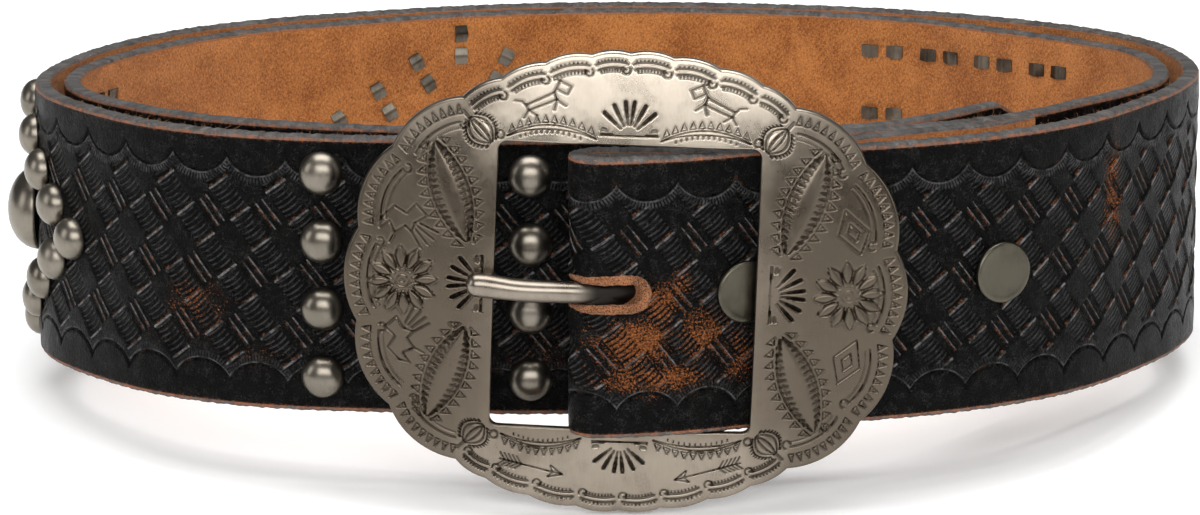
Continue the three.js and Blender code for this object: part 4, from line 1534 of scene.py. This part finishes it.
@once("Worn flecks")
def wear_group(name):
    """Worn-off flecks: more of them where Amount is higher, fewer in what is sunk."""
    w, given, out = effect_group(name, {"Scale": 1.0, "Amount": 0.5, "Sunk": 0.0, "Bare": 0.78}, ("Mask",))
    fleck = w.noise(given["Place"], w.times(given["Scale"], 1.5), 5.0, 0.72, 0.3)
    patch = w.noise(given["Place"], w.times(given["Scale"], 0.22), 2.0, 0.5)
    mixed = w.plus(w.times(fleck, 0.82), w.times(patch, 0.18))
    bar = w.minus(given["Bare"], w.times(given["Amount"], 0.37))
    bar = w.plus(bar, w.times(given["Sunk"], 0.12))
    above = w.minus(mixed, bar)
    w.feed(out["Mask"], w.ramp(above, 0.0, 0.08))
    return w.tree


@once("Old metal")
def tarnish_group(name):
    """Film on old metal: tone, fine pits and scratches, and where it is dark, as in what is Struck."""
    w, given, out = effect_group(name, {"Scale": 1.0, "Struck": 0.0, "Film": 0.5}, ("Dark", "Tone", "Height"))
    cloud = w.noise(given["Place"], w.times(given["Scale"], 110.0), 5.0, 0.62, 0.2)
    speck = w.noise(given["Place"], w.times(given["Scale"], 1900.0), 3.0, 0.6)
    drawn = w.stretched(given["Place"], 1.0, 1.0, 0.12)
    scratch = w.noise(drawn, w.times(given["Scale"], 2600.0), 2.0, 0.6)
    film = w.times(w.ramp(cloud, 0.42, 0.72), given["Film"])
    pits = w.ramp(speck, 0.66, 0.78)
    dark = w.most(w.ramp(given["Struck"], 0.12, 0.75), w.times(pits, 0.25))
    w.feed(out["Dark"], w.most(dark, w.times(film, 0.35), clamp=True))
    w.feed(out["Tone"], w.plus(w.times(cloud, 0.88), w.times(scratch, 0.12)))
    height = w.minus(w.times(scratch, 0.5), w.times(pits, 0.8))
    w.feed(out["Height"], height)
    return w.tree


def lattice_offsets(w, s, z, centre):
    """Shader form of from_nearest_place()."""
    bx, by = WEAVE_DROP
    x = w.minus(s, WEAVE_START + centre[0])
    y = w.minus(z, WEAVE_ROW_Z + centre[1])
    j = w.math("DIVIDE", y, by)
    i = w.math("DIVIDE", w.minus(x, w.times(j, bx)), WEAVE_ALONG)
    i = w.minus(i, w.math("ROUND", i))
    j = w.minus(j, w.math("ROUND", j))
    x = w.plus(w.times(i, WEAVE_ALONG), w.times(j, bx))
    return x, w.times(j, by)


RIB_PITCH = 0.95
RAY_PITCH = 0.5


@once("Tooled lines")
def tooled_lines_group(name):
    """The finest tooling, too fine for the mesh: ribs beside the grooves, rays round the border's arcs and
    painted highlights.
    """
    w, given, out = effect_group(name, {"Field": 1.0}, ("Cut", "Ridge", "Glint"))
    s, z, _ = w.split(given["Place"])
    c, n = math.cos(GROOVE_DIRECTION), math.sin(GROOVE_DIRECTION)

    def within(value, edge, soft=0.2):
        return w.ramp(w.math("ABSOLUTE", value), edge - soft, edge, 1.0, 0.0)

    def along_and_across(centre):
        x, y = lattice_offsets(w, s, z, centre)
        along = w.plus(w.times(x, c), w.times(y, n))
        return along, w.minus(w.times(y, c), w.times(x, n))

    def line_at(value, place, half_width):
        return within(w.minus(value, place), half_width, half_width * 0.8)

    cuts, ridges, glints = [], [], []
    for distance in RIB_BLOCKS_ACROSS:
        along, across = along_and_across(across_place(distance))
        bowed = w.plus(along, w.times(w.times(across, across), 0.07))
        wave = w.math("COSINE", w.times(bowed, 2 * math.pi / RIB_PITCH))
        inside = w.times(within(along, BLOCK_HALF_ALONG - 0.2), within(across, BLOCK_HALF_ACROSS - 0.1))
        cuts.append(w.times(w.ramp(wave, -0.3, 0.9), inside))
        stop = w.times(line_at(along, BLOCK_HALF_ALONG - 0.1, 0.3), within(across, BLOCK_HALF_ACROSS))
        ridges.append(stop)
        # Painted highlight: a bright line just outside each stop wall, and fainter ones on the rib crests.
        wall = w.times(line_at(along, BLOCK_HALF_ALONG + 0.3, 0.34), within(across, BLOCK_HALF_ACROSS + 0.2))
        crests = w.times(w.ramp(wave, 0.2, -0.9), inside)
        glints.append(w.most(wall, w.times(crests, 0.17)))
    along, across = along_and_across((0, 0))
    side = w.math("ABSOLUTE", across)
    inside = within(along, BLOCK_HALF_ALONG - 0.3)
    ridges.append(w.times(line_at(side, GROOVES["pitch"] / 2, 0.3), inside))
    cuts.append(w.times(line_at(side, BLOCK_HALF_ACROSS + 0.05, 0.3), inside))
    # Painted highlight: lines along both sides of the middle grooves.
    lit = w.times(line_at(across, GROOVES["pitch"] / 2 + 0.22, 0.2), inside)
    foot = w.times(line_at(across, 0.22 - GROOVES["pitch"] / 2, 0.2), inside)
    glints.append(w.times(w.most(lit, foot), 0.75))
    inwards = w.math("MINIMUM", w.minus(STRAP_W, z), w.minus(z, SCALLOP_LOWER_UP))
    x = w.minus(s, SCALLOP_START + SCALLOP_ALONG / 2)
    turns = w.math("ROUND", w.math("DIVIDE", x, SCALLOP_ALONG))
    x = w.minus(x, w.times(turns, SCALLOP_ALONG))
    y = w.minus(inwards, SCALLOP_CENTRE_IN)
    radius = w.math("SQRT", w.plus(w.times(x, x), w.times(y, y)))
    angle = w.math("ARCTAN2", x, y)
    ray = w.ramp(w.math("COSINE", w.times(angle, 2 * math.pi * SCALLOP_R / RAY_PITCH)), -0.2, 1.0)
    outer_fade = w.ramp(radius, SCALLOP_R + 1.3, SCALLOP_R + 2.0, 1.0, 0.0)
    near = w.times(w.ramp(radius, SCALLOP_R + 0.35, SCALLOP_R + 0.6), outer_fade)
    fade = w.ramp(w.noise(given["Place"], 0.12, 1.0), 0.34, 0.5, 0.35, 1.0)
    fade = w.times(fade, w.ramp(z, MID - 2, MID + 2, 0.35, 1.0))
    crests = w.times(w.times(w.minus(1.0, ray), near), fade)
    # Painted highlight: the rays' crests and a crisp bright line just outside each border arc.
    crisp = w.times(line_at(radius, SCALLOP_R + 0.42, 0.24), w.ramp(inwards, 2.4, 3.4))
    rim = w.most(w.times(crests, 0.3), w.times(crisp, 0.42))
    rays = w.times(w.times(ray, near), fade)

    def in_field(masks):
        return w.times(w.most(masks[0], w.most(masks[1], masks[2])), given["Field"])

    w.feed(out["Cut"], w.most(in_field(cuts), rays))
    w.feed(out["Ridge"], in_field(ridges))
    w.feed(out["Glint"], w.most(in_field(glints), rim))
    return w.tree


def new_material(name):
    material = bpy.data.materials.new(name)
    material.use_nodes = True
    material.node_tree.nodes.clear()
    return material, Wires(material.node_tree)


def finish_material(w, shader_inputs, height=None, height_mm=0.0):
    """Ends a material in a Principled shader, with a bump of the given height in mm."""
    shader = w.node("ShaderNodeBsdfPrincipled", shader_inputs)
    if height is not None:
        bump = w.node("ShaderNodeBump", {"Height": height, "Distance": height_mm * MM, "Strength": 1.0})
        w.feed(shader.inputs["Normal"], bump.outputs[0])
    out = w.node("ShaderNodeOutputMaterial")
    w.feed(out.inputs["Surface"], shader.outputs[0])


def grain_leather(sizes):
    """The black grain side: semi-gloss, fine grain, rubbed to orange brown in flecks and along the cuts, with
    painted highlights.
    """
    material, w = new_material("black_leather")
    place = w.attribute("strap_place")
    rub, lines, field = w.split(w.attribute("strap_marks"))
    grain = w.group(grain_group(), {"Place": place, "Scale": 1.0, "Creases": 0.6})
    fine = w.group(tooled_lines_group(), {"Place": place, "Field": field})
    cut_mask = fine["Cut"]
    sunk = w.most(cut_mask, w.times(lines, 0.8))
    rubbed = {"Place": place, "Scale": 1.5, "Amount": rub, "Sunk": sunk, "Bare": 0.755}
    worn = w.group(wear_group(), rubbed)["Mask"]
    broken = w.ramp(w.noise(place, 0.8, 5.0, 0.7), 0.46, 0.64)
    arcs = w.times(w.ramp(lines, 0.5, 0.9), w.ramp(w.noise(place, 0.21, 3.0, 0.6), 0.55, 0.7))
    arcs = w.times(arcs, w.minus(1.0, field))
    cut_glow = w.times(w.most(w.times(fine["Ridge"], broken), w.times(arcs, 0.4)), 0.55)
    from_middle = w.math("ABSOLUTE", w.minus(w.split(place)[1], MID))
    fray = w.plus(from_middle, w.times(w.noise(place, 1.1, 4.0, 0.7), 1.6))
    cut_glow = w.most(cut_glow, w.times(w.ramp(fray, MID - 0.35, MID + 0.15), 0.6))
    rubbed_mask = w.most(worn, cut_glow, clamp=True)
    black = w.mix(w.ramp(grain["Tone"], 0.35, 0.7), tuple(sizes.leather_colour) + (1.0,), srgb(13, 12, 11))
    # Painted highlights: light gray lines along the tooling's walls, crests and arcs, broken up by noise.
    glint_breakup = w.ramp(w.noise(place, 0.55, 4.0, 0.7), 0.4, 0.62, 0.15, 1.0)
    black = w.mix(w.times(w.times(fine["Glint"], glint_breakup), 0.85), black, srgb(126, 125, 126))
    # Painted highlights: light gray specks and fine crease lines in the grain.
    glint_specks = w.ramp(w.noise(place, 2.3, 5.0, 0.75, 0.4), 0.6, 0.7)
    hair = w.math("ABSOLUTE", w.minus(w.noise(place, 0.75, 5.0, 0.68, 1.4), 0.5))
    hair = w.times(w.ramp(hair, 0.0, 0.012, 1.0, 0.0), w.ramp(w.noise(place, 0.4, 2.0), 0.46, 0.6))
    painted_shine = w.most(w.times(glint_specks, 0.55), w.times(hair, 0.5))
    black = w.mix(painted_shine, black, srgb(92, 90, 88))
    brown = w.mix(w.ramp(w.noise(place, 2.6, 3.0), 0.35, 0.68), srgb(78, 44, 23), srgb(148, 89, 50))
    rough = w.plus(w.times(rubbed_mask, 0.35), w.ramp(grain["Tone"], 0.3, 0.7, 0.24, 0.4))
    height = w.minus(w.times(grain["Height"], 0.5), w.times(cut_mask, 0.8))
    height = w.minus(height, w.times(worn, 0.12))
    finish_material(
        w,
        {"Base Color": w.mix(rubbed_mask, black, brown), "Roughness": rough, "Specular IOR Level": 0.045},
        height,
        0.3,
    )
    return material


def edge_leather(sizes):
    """Burnished gray edge with a bare orange line next to the grain side."""
    material, w = new_material("leather_edge")
    place = w.attribute("strap_place")
    around = w.split(place)[2]
    grain = w.group(grain_group(), {"Place": place, "Scale": 1.6, "Creases": 0.9})
    wander = w.plus(around, w.times(w.minus(w.noise(place, 0.9, 5.0, 0.75), 0.5), 0.3))
    bevel = w.ramp(wander, 0.14, 0.24, 1.0, 0.0)
    bevel = w.times(bevel, w.ramp(w.noise(place, 0.5, 4.0, 0.7), 0.4, 0.6, 0.12, 0.9))
    inner = w.ramp(wander, 0.8, 0.93)
    gray = w.mix(w.ramp(grain["Tone"], 0.35, 0.68), srgb(50, 48, 47), srgb(98, 95, 92))
    colour = w.mix(bevel, gray, srgb(142, 84, 50))
    colour = w.mix(inner, colour, srgb(150, 92, 50))
    finish_material(w, {"Base Color": colour, "Roughness": 0.62}, grain["Height"], 0.09)
    return material


def suede(name, dark, light, scale, sheen):
    """Napped leather: the flesh side, and raw or pressed leather where it was cut."""
    material, w = new_material(name)
    place = w.attribute("strap_place") if name == "suede" else w.on_object()
    grain = w.group(grain_group(), {"Place": place, "Scale": scale, "Creases": 0.25})
    nap = w.noise(w.stretched(place, 1.0, 0.7, 1.0, 0.7), 2.9 * scale, 5.0, 0.78, 0.6)
    patch = w.noise(place, 0.09 * scale, 4.0, 0.6, 0.5)
    tone = w.plus(w.times(nap, 0.72), w.times(patch, 0.28))
    colour = w.mix(w.ramp(tone, 0.4, 0.6), dark, light)
    stain = w.ramp(w.noise(place, 0.16 * scale, 5.0, 0.7, 1.0), 0.58, 0.72, 0.0, 0.3)
    colour = w.mix(stain, colour, srgb(118, 66, 32))
    height = w.plus(w.times(nap, 1.3), w.times(grain["Height"], 0.4))
    finish_material(
        w,
        {"Base Color": colour, "Roughness": 0.93, "Sheen Weight": sheen, "Sheen Roughness": 0.45,
         "Specular IOR Level": 0.15},
        height,
        0.35,
    )
    return material


def fibre_leather():
    material, w = new_material("leather_fibre")
    place = w.on_object()
    tone = w.ramp(w.noise(place, 700.0, 2.0), 0.35, 0.65)
    finish_material(w, {"Base Color": w.mix(tone, srgb(120, 70, 36), srgb(206, 146, 90)), "Roughness": 0.85})
    return material


def old_silver(sizes):
    """Antique silver: painted highlights in bands at top and bottom, painted shade on the sides, brown black
    in everything struck.
    """
    material, w = new_material("antique_silver")
    place = w.on_object()
    struck, across, height = w.split(w.attribute("plate_marks"))
    film = w.group(tarnish_group(), {"Place": place, "Scale": 1.0, "Struck": struck, "Film": 0.85})
    # Painted light: bands at the plate's top and bottom lighter, as if lit from above and by the floor, and
    # its sides darker, as if in shade.
    wander = w.times(w.minus(w.noise(place, 60.0, 3.0), 0.5), 0.5)
    side = w.ramp(w.plus(w.math("ABSOLUTE", across), wander), 0.35, 0.62)
    up = w.plus(height, wander)
    lit_bands = w.most(w.ramp(up, 0.42, 0.72), w.ramp(up, -0.78, -0.6, 0.45, 0.0))
    lit_bands = w.times(lit_bands, w.minus(1.0, w.times(side, 0.8)))
    shaded_sides = w.mix(side, srgb(128, 118, 105), srgb(97, 88, 77))
    bright = w.mix(lit_bands, shaded_sides, tuple(sizes.silver_highlight_colour) + (1.0,))
    bright = w.mix(w.ramp(film["Tone"], 0.36, 0.62, 0.35, 0.0), bright, srgb(70, 61, 52))
    colour = w.mix(w.times(film["Dark"], 0.62), bright, srgb(52, 45, 38))
    rough = w.plus(w.ramp(film["Tone"], 0.3, 0.7, 0.25, 0.36), w.times(film["Dark"], 0.2))
    finish_material(w, {"Base Color": colour, "Metallic": 1.0, "Roughness": rough}, film["Height"], 0.022)
    return material


def plain_metal(name, dark, light, roughness, film_share, dark_from=None):
    """Smooth old metal for the prong, bar, studs, caps and clinched ends, with painted shade and more
    roughness right of x = dark_from mm.
    """
    material, w = new_material(name)
    place = w.on_object()
    film = w.group(tarnish_group(), {"Place": place, "Scale": 1.0, "Struck": 0.0, "Film": film_share})
    colour = w.mix(w.ramp(film["Tone"], 0.35, 0.65), dark, light)
    colour = w.mix(w.times(film["Dark"], 0.6), colour, srgb(40, 36, 33))
    rough = w.ramp(film["Tone"], 0.3, 0.7, roughness, roughness + 0.09)
    if dark_from is not None:
        # Painted shade: darker right of dark_from, where the prong goes into the slot's shadow.
        inside = w.ramp(w.split(place)[0], dark_from * MM, (dark_from + 5) * MM)
        colour = w.mix(inside, colour, srgb(46, 43, 41))
        rough = w.plus(rough, w.times(inside, 0.3))
    finish_material(w, {"Base Color": colour, "Metallic": 1.0, "Roughness": rough}, film["Height"], 0.006)
    return material


def studio_floor():
    material, w = new_material("studio_floor")
    finish_material(w, {
        "Base Color": (0.9, 0.9, 0.9, 1.0), "Roughness": 0.9, "Specular IOR Level": 0.1,
        "Emission Color": (1.0, 1.0, 1.0, 1.0), "Emission Strength": 0.19,
    })
    return material


# Where painted shade starts on the prong towards the slot, in mm in its own frame.
PRONG_SHADED_FROM_X = -6.5
FINISHES = {
    "grain": grain_leather,
    "edge": edge_leather,
    "suede": lambda sizes: suede("suede", srgb(138, 78, 33), srgb(208, 136, 74), 1.0, 0.12),
    "raw": lambda sizes: suede("raw_leather", srgb(66, 34, 17), srgb(196, 132, 88), 1300.0, 0.1),
    "filler": lambda sizes: suede("pressed_edge", srgb(66, 62, 59), srgb(108, 102, 96), 700.0, 0.05),
    "fibre": lambda sizes: fibre_leather(),
    "silver": old_silver,
    "prong": lambda sizes: plain_metal(
        "prong_steel", srgb(118, 109, 99), srgb(150, 141, 129), 0.25, 0.4, PRONG_SHADED_FROM_X,
    ),
    "bar": lambda sizes: plain_metal("bar_steel", srgb(22, 20, 19), srgb(38, 35, 32), 0.5, 0.6),
    "nickel": lambda sizes: plain_metal("dark_nickel", srgb(112, 106, 96), srgb(138, 131, 120), 0.28, 0.3),
    "gunmetal": lambda sizes: plain_metal("gunmetal", srgb(66, 63, 54), srgb(92, 88, 77), 0.28, 0.4),
    "clinch": lambda sizes: plain_metal("clinched_steel", srgb(70, 65, 57), srgb(128, 121, 110), 0.34, 0.6),
    "floor": lambda sizes: studio_floor(),
}
made_finishes = {}


def finish(name):
    if name not in made_finishes:
        made_finishes[name] = FINISHES[name](bpy.context.scene.belt_sizes)
    return made_finishes[name]


# What a user would change.
class BeltSizes(PropertyGroup):
    """Sizes and colours of the belt's looks."""

    tooling_depth: FloatProperty(
        name="Tooling Depth", description="Depth of the cuts in the grain side",
        default=0.00042, min=0.0001, max=0.0008, precision=5, unit="LENGTH",
    )
    stamp_depth: FloatProperty(
        name="Stamp Depth", description="Depth of the lines struck into the buckle",
        default=0.00034, min=0.0001, max=0.0008, precision=5, unit="LENGTH",
    )
    stamp_half_width: FloatProperty(
        name="Stamp Half Width", description="Half the width of the lines struck into the buckle",
        default=0.0003, min=0.0001, max=0.0006, precision=5, unit="LENGTH",
    )
    prong_radius: FloatProperty(
        name="Prong Radius", description="Radius of the prong's shank",
        default=PRONG_R * MM, min=0.0015, max=PRONG_R * MM, precision=4, unit="LENGTH",
    )
    stud_width: FloatProperty(
        name="Stud Width", description="Width of a small dome stud",
        default=STUD_D * MM, min=0.006, max=STUD_D * MM, precision=4, unit="LENGTH",
    )
    stud_height: FloatProperty(
        name="Stud Height", description="Height of a small dome stud",
        default=STUD_H * MM, min=0.002, max=STUD_H * MM, precision=4, unit="LENGTH",
    )
    fibres: IntProperty(
        name="Fibres", description="Number of loose fibres along the strap's edges", default=2600, min=0,
    )
    leather_colour: FloatVectorProperty(
        name="Leather Colour", description="Colour of the leather's black grain side",
        default=srgb(5, 5, 5)[:3], min=0, max=1, subtype="COLOR",
    )
    # The colour of the painted highlight bands at the buckle's top and bottom.
    silver_highlight_colour: FloatVectorProperty(
        name="Silver Colour", description="Colour of the buckle where it is rubbed bright",
        default=srgb(190, 179, 164)[:3], min=0, max=1, subtype="COLOR",
    )


# Pieces of the strap: name, start and end along it, step, row step, rows on the suede side. Each starts a
# little before the end of the one before, so that no gap shows.
OVERLAP = 0.2
FINE = 0.36
MIDDLING = 0.75
STRAP_LENGTHS = (
    ("leather_folded_end", 0, BAR_S - 8, 1.0, 1.0, 16),
    ("leather_front", BAR_S - 8 - OVERLAP, RIGHT_END_S + 6, FINE, FINE, 12),
    ("leather_back", RIGHT_END_S + 6 - OVERLAP, LEFT_END_S - 12, MIDDLING, MIDDLING, 10),
    ("leather_left", LEFT_END_S - 12 - OVERLAP, SQUARE_S + 37, FINE, FINE, 12),
    ("leather_inner", SQUARE_S + 37 - OVERLAP, ROUTE.length, 1.3, 1.0, 20),
)


class BELT_OT_leather(Operator):
    """Build the strap's lengths, tooled outside, with the prong's slot and the belt holes"""

    bl_idname = "belt.leather"
    bl_label = "Leather"

    def execute(self, context):
        depth = context.scene.belt_sizes.tooling_depth / MM
        skins = [finish("grain"), finish("edge"), finish("suede")]
        raw = finish("raw")
        last_hole = ROUTE.length - LAST_HOLE_FROM_TIP
        for name, *measures in STRAP_LENGTHS:
            piece = strap_mesh(name, *measures, depth, skins)
            if name == "leather_folded_end":
                cut(piece, [back_of_slot_cutter(raw)])
            if name == "leather_front":
                cut(piece, [slot_cutter(raw), back_of_slot_cutter(raw)])
                hand_over(slot_lip(raw), "body", ["strap"])
                filler = make_piece("fold_filler", *fold_filler(), [finish("filler")])
                hand_over(filler, "body", ["strap"])
            if name == "leather_inner":
                cut(piece, [hole_cutter(last_hole - i * BELT_HOLE_PITCH, raw) for i in range(BELT_HOLES)])
            hand_over(piece, "body", ["strap"])
        return {"FINISHED"}


class BELT_OT_buckle(Operator):
    """Build the stamped, scalloped plate and the bar behind it"""

    bl_idname = "belt.buckle"
    bl_label = "Buckle"

    def execute(self, context):
        sizes = context.scene.belt_sizes
        face = stamp_face(sizes.stamp_half_width / MM, sizes.stamp_depth / MM)
        pieces = [make_piece("buckle_bar", *bar_mesh(), [finish("bar")])]
        for name, first_lobe in (("buckle_plate_right", 0), ("buckle_plate_left", LOBES // 2)):
            points, faces, marks = plate_mesh(face, first_lobe, LOBES // 2)
            pieces.append(make_piece(name, points, faces, [finish("silver")], corner={"plate_marks": marks}))
        for piece in pieces:
            hand_over(piece, "body", ["buckle"])
        return {"FINISHED"}


class BELT_OT_prong(Operator):
    """Build the prong and its loop round the bar"""

    bl_idname = "belt.prong"
    bl_label = "Prong"

    def execute(self, context):
        points, faces = prong_mesh(context.scene.belt_sizes.prong_radius / MM)
        piece = make_piece("prong_shank", points, faces, [finish("prong")], sharp_degrees=50)
        hand_over(piece, "prong", ["prong"])
        return {"FINISHED"}


class BELT_OT_caps(Operator):
    """Build the two flat caps that hold the folded-back end"""

    bl_idname = "belt.caps"
    bl_label = "Flat Caps"

    def execute(self, context):
        profile, faces = cap_mesh()
        for name, x in zip(("cap_left", "cap_right"), CAP_XS):
            p, d, n = on_strap([(front_s(x), MID)], 0)
            up = np.array([0, 0, 1.0])
            points = p[0] + profile[:, :1] * d[0] + profile[:, 1:2] * up + profile[:, 2:] * n[0]
            piece = make_piece("flat_" + name, points, faces, [finish("gunmetal")], sharp_degrees=55)
            hand_over(piece, "body", [name])
        return {"FINISHED"}


class BELT_OT_studs(Operator):
    """Place the dome studs: squares of twelve and diamonds of sixteen round a large one"""

    bl_idname = "belt.studs"
    bl_label = "Dome Studs"

    def execute(self, context):
        sizes = context.scene.belt_sizes
        square_nodes = [f"square_stud_{i}" for i in range(1, 13)]
        diamond_nodes = [f"diamond_stud_{i}" for i in range(1, 17)] + ["diamond_stud_big"]
        rear_square_s = LEFT_END_S - MOTIF_PITCH
        rear_diamond_s = LEFT_END_S - 2 * MOTIF_PITCH
        for name, at_s, motif, big, nodes in (
            ("square_studs", SQUARE_S, square_motif(), False, square_nodes),
            ("diamond_studs", LEFT_END_S + DIAMOND_SHIFT, diamond_motif(), True, diamond_nodes),
            ("rear_square_studs", rear_square_s, square_motif(), False, ["back_square_studs"]),
            ("rear_diamond_studs", rear_diamond_s, diamond_motif(), True, ["back_diamond_studs"]),
        ):
            piece = stud_piece(name, at_s, motif, big, sizes, finish("nickel"))
            hand_over(piece, "body", nodes)
        return {"FINISHED"}


class BELT_OT_clinches(Operator):
    """Place the clinched ends of the inner turn's studs on the suede"""

    bl_idname = "belt.clinches"
    bl_label = "Clinched Ends"

    def execute(self, context):
        places, ways = clinch_places()
        p, d, n = on_strap(places, 0, -1)
        ways = np.array(ways)
        along = d * ways[:, :1] + np.array([0, 0, 1.0]) * ways[:, 1:]
        sizes = np.ones((len(places), 3))
        strips = prototype(*strip())
        piece = place_copies("clinched_ends", p, n, along, sizes, strips, finish("clinch"), 0.12, 11)
        hand_over(piece, "body", ["strap"])
        return {"FINISHED"}


class BELT_OT_fibres(Operator):
    """Grow loose fibres along the strap's edges and the slot's raw lips"""

    bl_idname = "belt.fibres"
    bl_label = "Fibres"

    def execute(self, context):
        count = context.scene.belt_sizes.fibres
        strewn = {"edge_fibres": edge_fibres(count, 5), "slot_fibres": slot_fibres(count // 8, 6)}
        for name, placed in strewn.items():
            piece = place_copies(name, *placed, prototype(*fibre()), finish("fibre"), 0.25, 3)
            hand_over(piece, "body", ["strap"])
        return {"FINISHED"}


# Stage: where each light is, where it looks, its width and height, and its power.
LIGHTS = (
    ("light_top", (0.0, 0.1, 1.3), (0, 0, 0), 1.3, 0.9, 19.0),
    ("light_front", (0.0, -1.3, 0.8), (0, 0, 0.04), 1.5, 0.7, 16.0),
    ("light_left", (-1.2, -0.35, 0.5), (0, 0, 0.03), 0.5, 0.7, 2.6),
    ("light_right", (1.2, -0.35, 0.5), (0, 0, 0.03), 0.5, 0.7, 2.6),
)
WORLD_STRENGTH = 0.12
FLOOR_REACH = 6.0


def aimed(piece, place, target, up=(0, 0, 1)):
    """Puts a light or the camera in place, looking at a target."""
    place, target, up = Vector(place), Vector(target), Vector(up)
    back = (place - target).normalized()
    side = up.cross(back).normalized()
    over = back.cross(side)
    piece.matrix_world = Matrix.Translation(place) @ Matrix((side, over, back)).transposed().to_4x4()


class BELT_OT_stage(Operator):
    """Add the floor, the soft lights and the camera"""

    bl_idname = "belt.stage"
    bl_label = "Stage"

    def execute(self, context):
        scene = context.scene
        floor_mesh = bpy.data.meshes.new("studio_floor")
        corners = [(x * FLOOR_REACH, y * FLOOR_REACH, 0) for x, y in ((-1, -1), (1, -1), (1, 1), (-1, 1))]
        floor_mesh.from_pydata(corners, [], [(0, 1, 2, 3)])
        floor_mesh.materials.append(finish("floor"))
        floor = bpy.data.objects.new("studio_floor", floor_mesh)
        scene.collection.objects.link(floor)
        world = bpy.data.worlds.new("studio")
        world.use_nodes = True
        sky = world.node_tree.nodes["Background"]
        sky.inputs["Color"].default_value = (1, 1, 1, 1)
        sky.inputs["Strength"].default_value = WORLD_STRENGTH
        scene.world = world
        for name, place, target, width, height, power in LIGHTS:
            data = bpy.data.lights.new(name, "AREA")
            data.shape = "RECTANGLE"
            data.size, data.size_y = width, height
            data.energy = power
            light = bpy.data.objects.new(name, data)
            scene.collection.objects.link(light)
            aimed(light, place, target)
        data = bpy.data.cameras.new("camera")
        data.sensor_width = SENSOR
        data.lens = CAMERA_FOCAL_PX * SENSOR / IMAGE_W
        data.clip_start, data.clip_end = 0.05, 20
        camera = bpy.data.objects.new("camera", data)
        scene.collection.objects.link(camera)
        rise = CAMERA_DISTANCE * math.sin(CAMERA_ELEVATION)
        place = to_row([[0, -CAMERA_DISTANCE * math.cos(CAMERA_ELEVATION), MID + rise]])[0]
        aimed(camera, place, to_row([[0, 0, MID]])[0], turned([[0, 0, 1]])[0])
        scene.camera = camera
        scene.view_settings.view_transform = "Standard"
        return {"FINISHED"}


OPERATORS = (
    BELT_OT_leather, BELT_OT_buckle, BELT_OT_prong, BELT_OT_caps, BELT_OT_studs, BELT_OT_clinches,
    BELT_OT_fibres, BELT_OT_stage,
)


class BELT_PT_panel(Panel):
    """Belt's sizes and pieces"""

    bl_label = "Belt"
    bl_idname = "BELT_PT_panel"
    bl_space_type = "VIEW_3D"
    bl_region_type = "UI"
    bl_category = "Belt"

    def draw(self, context):
        for key in BeltSizes.__annotations__:
            self.layout.prop(context.scene.belt_sizes, key)
        for kind in OPERATORS:
            self.layout.operator(kind.bl_idname)


CLASSES = (BeltSizes, *OPERATORS, BELT_PT_panel)


def register():
    for kind in CLASSES:
        bpy.utils.register_class(kind)
    bpy.types.Scene.belt_sizes = PointerProperty(type=BeltSizes)


def unregister():
    del bpy.types.Scene.belt_sizes
    for kind in reversed(CLASSES):
        bpy.utils.unregister_class(kind)


def main():
    register()
    for build in (
        bpy.ops.belt.leather, bpy.ops.belt.buckle, bpy.ops.belt.prong, bpy.ops.belt.caps, bpy.ops.belt.studs,
        bpy.ops.belt.clinches, bpy.ops.belt.fibres, bpy.ops.belt.stage,
    ):
        build()


if __name__ == "__main__":
    main()
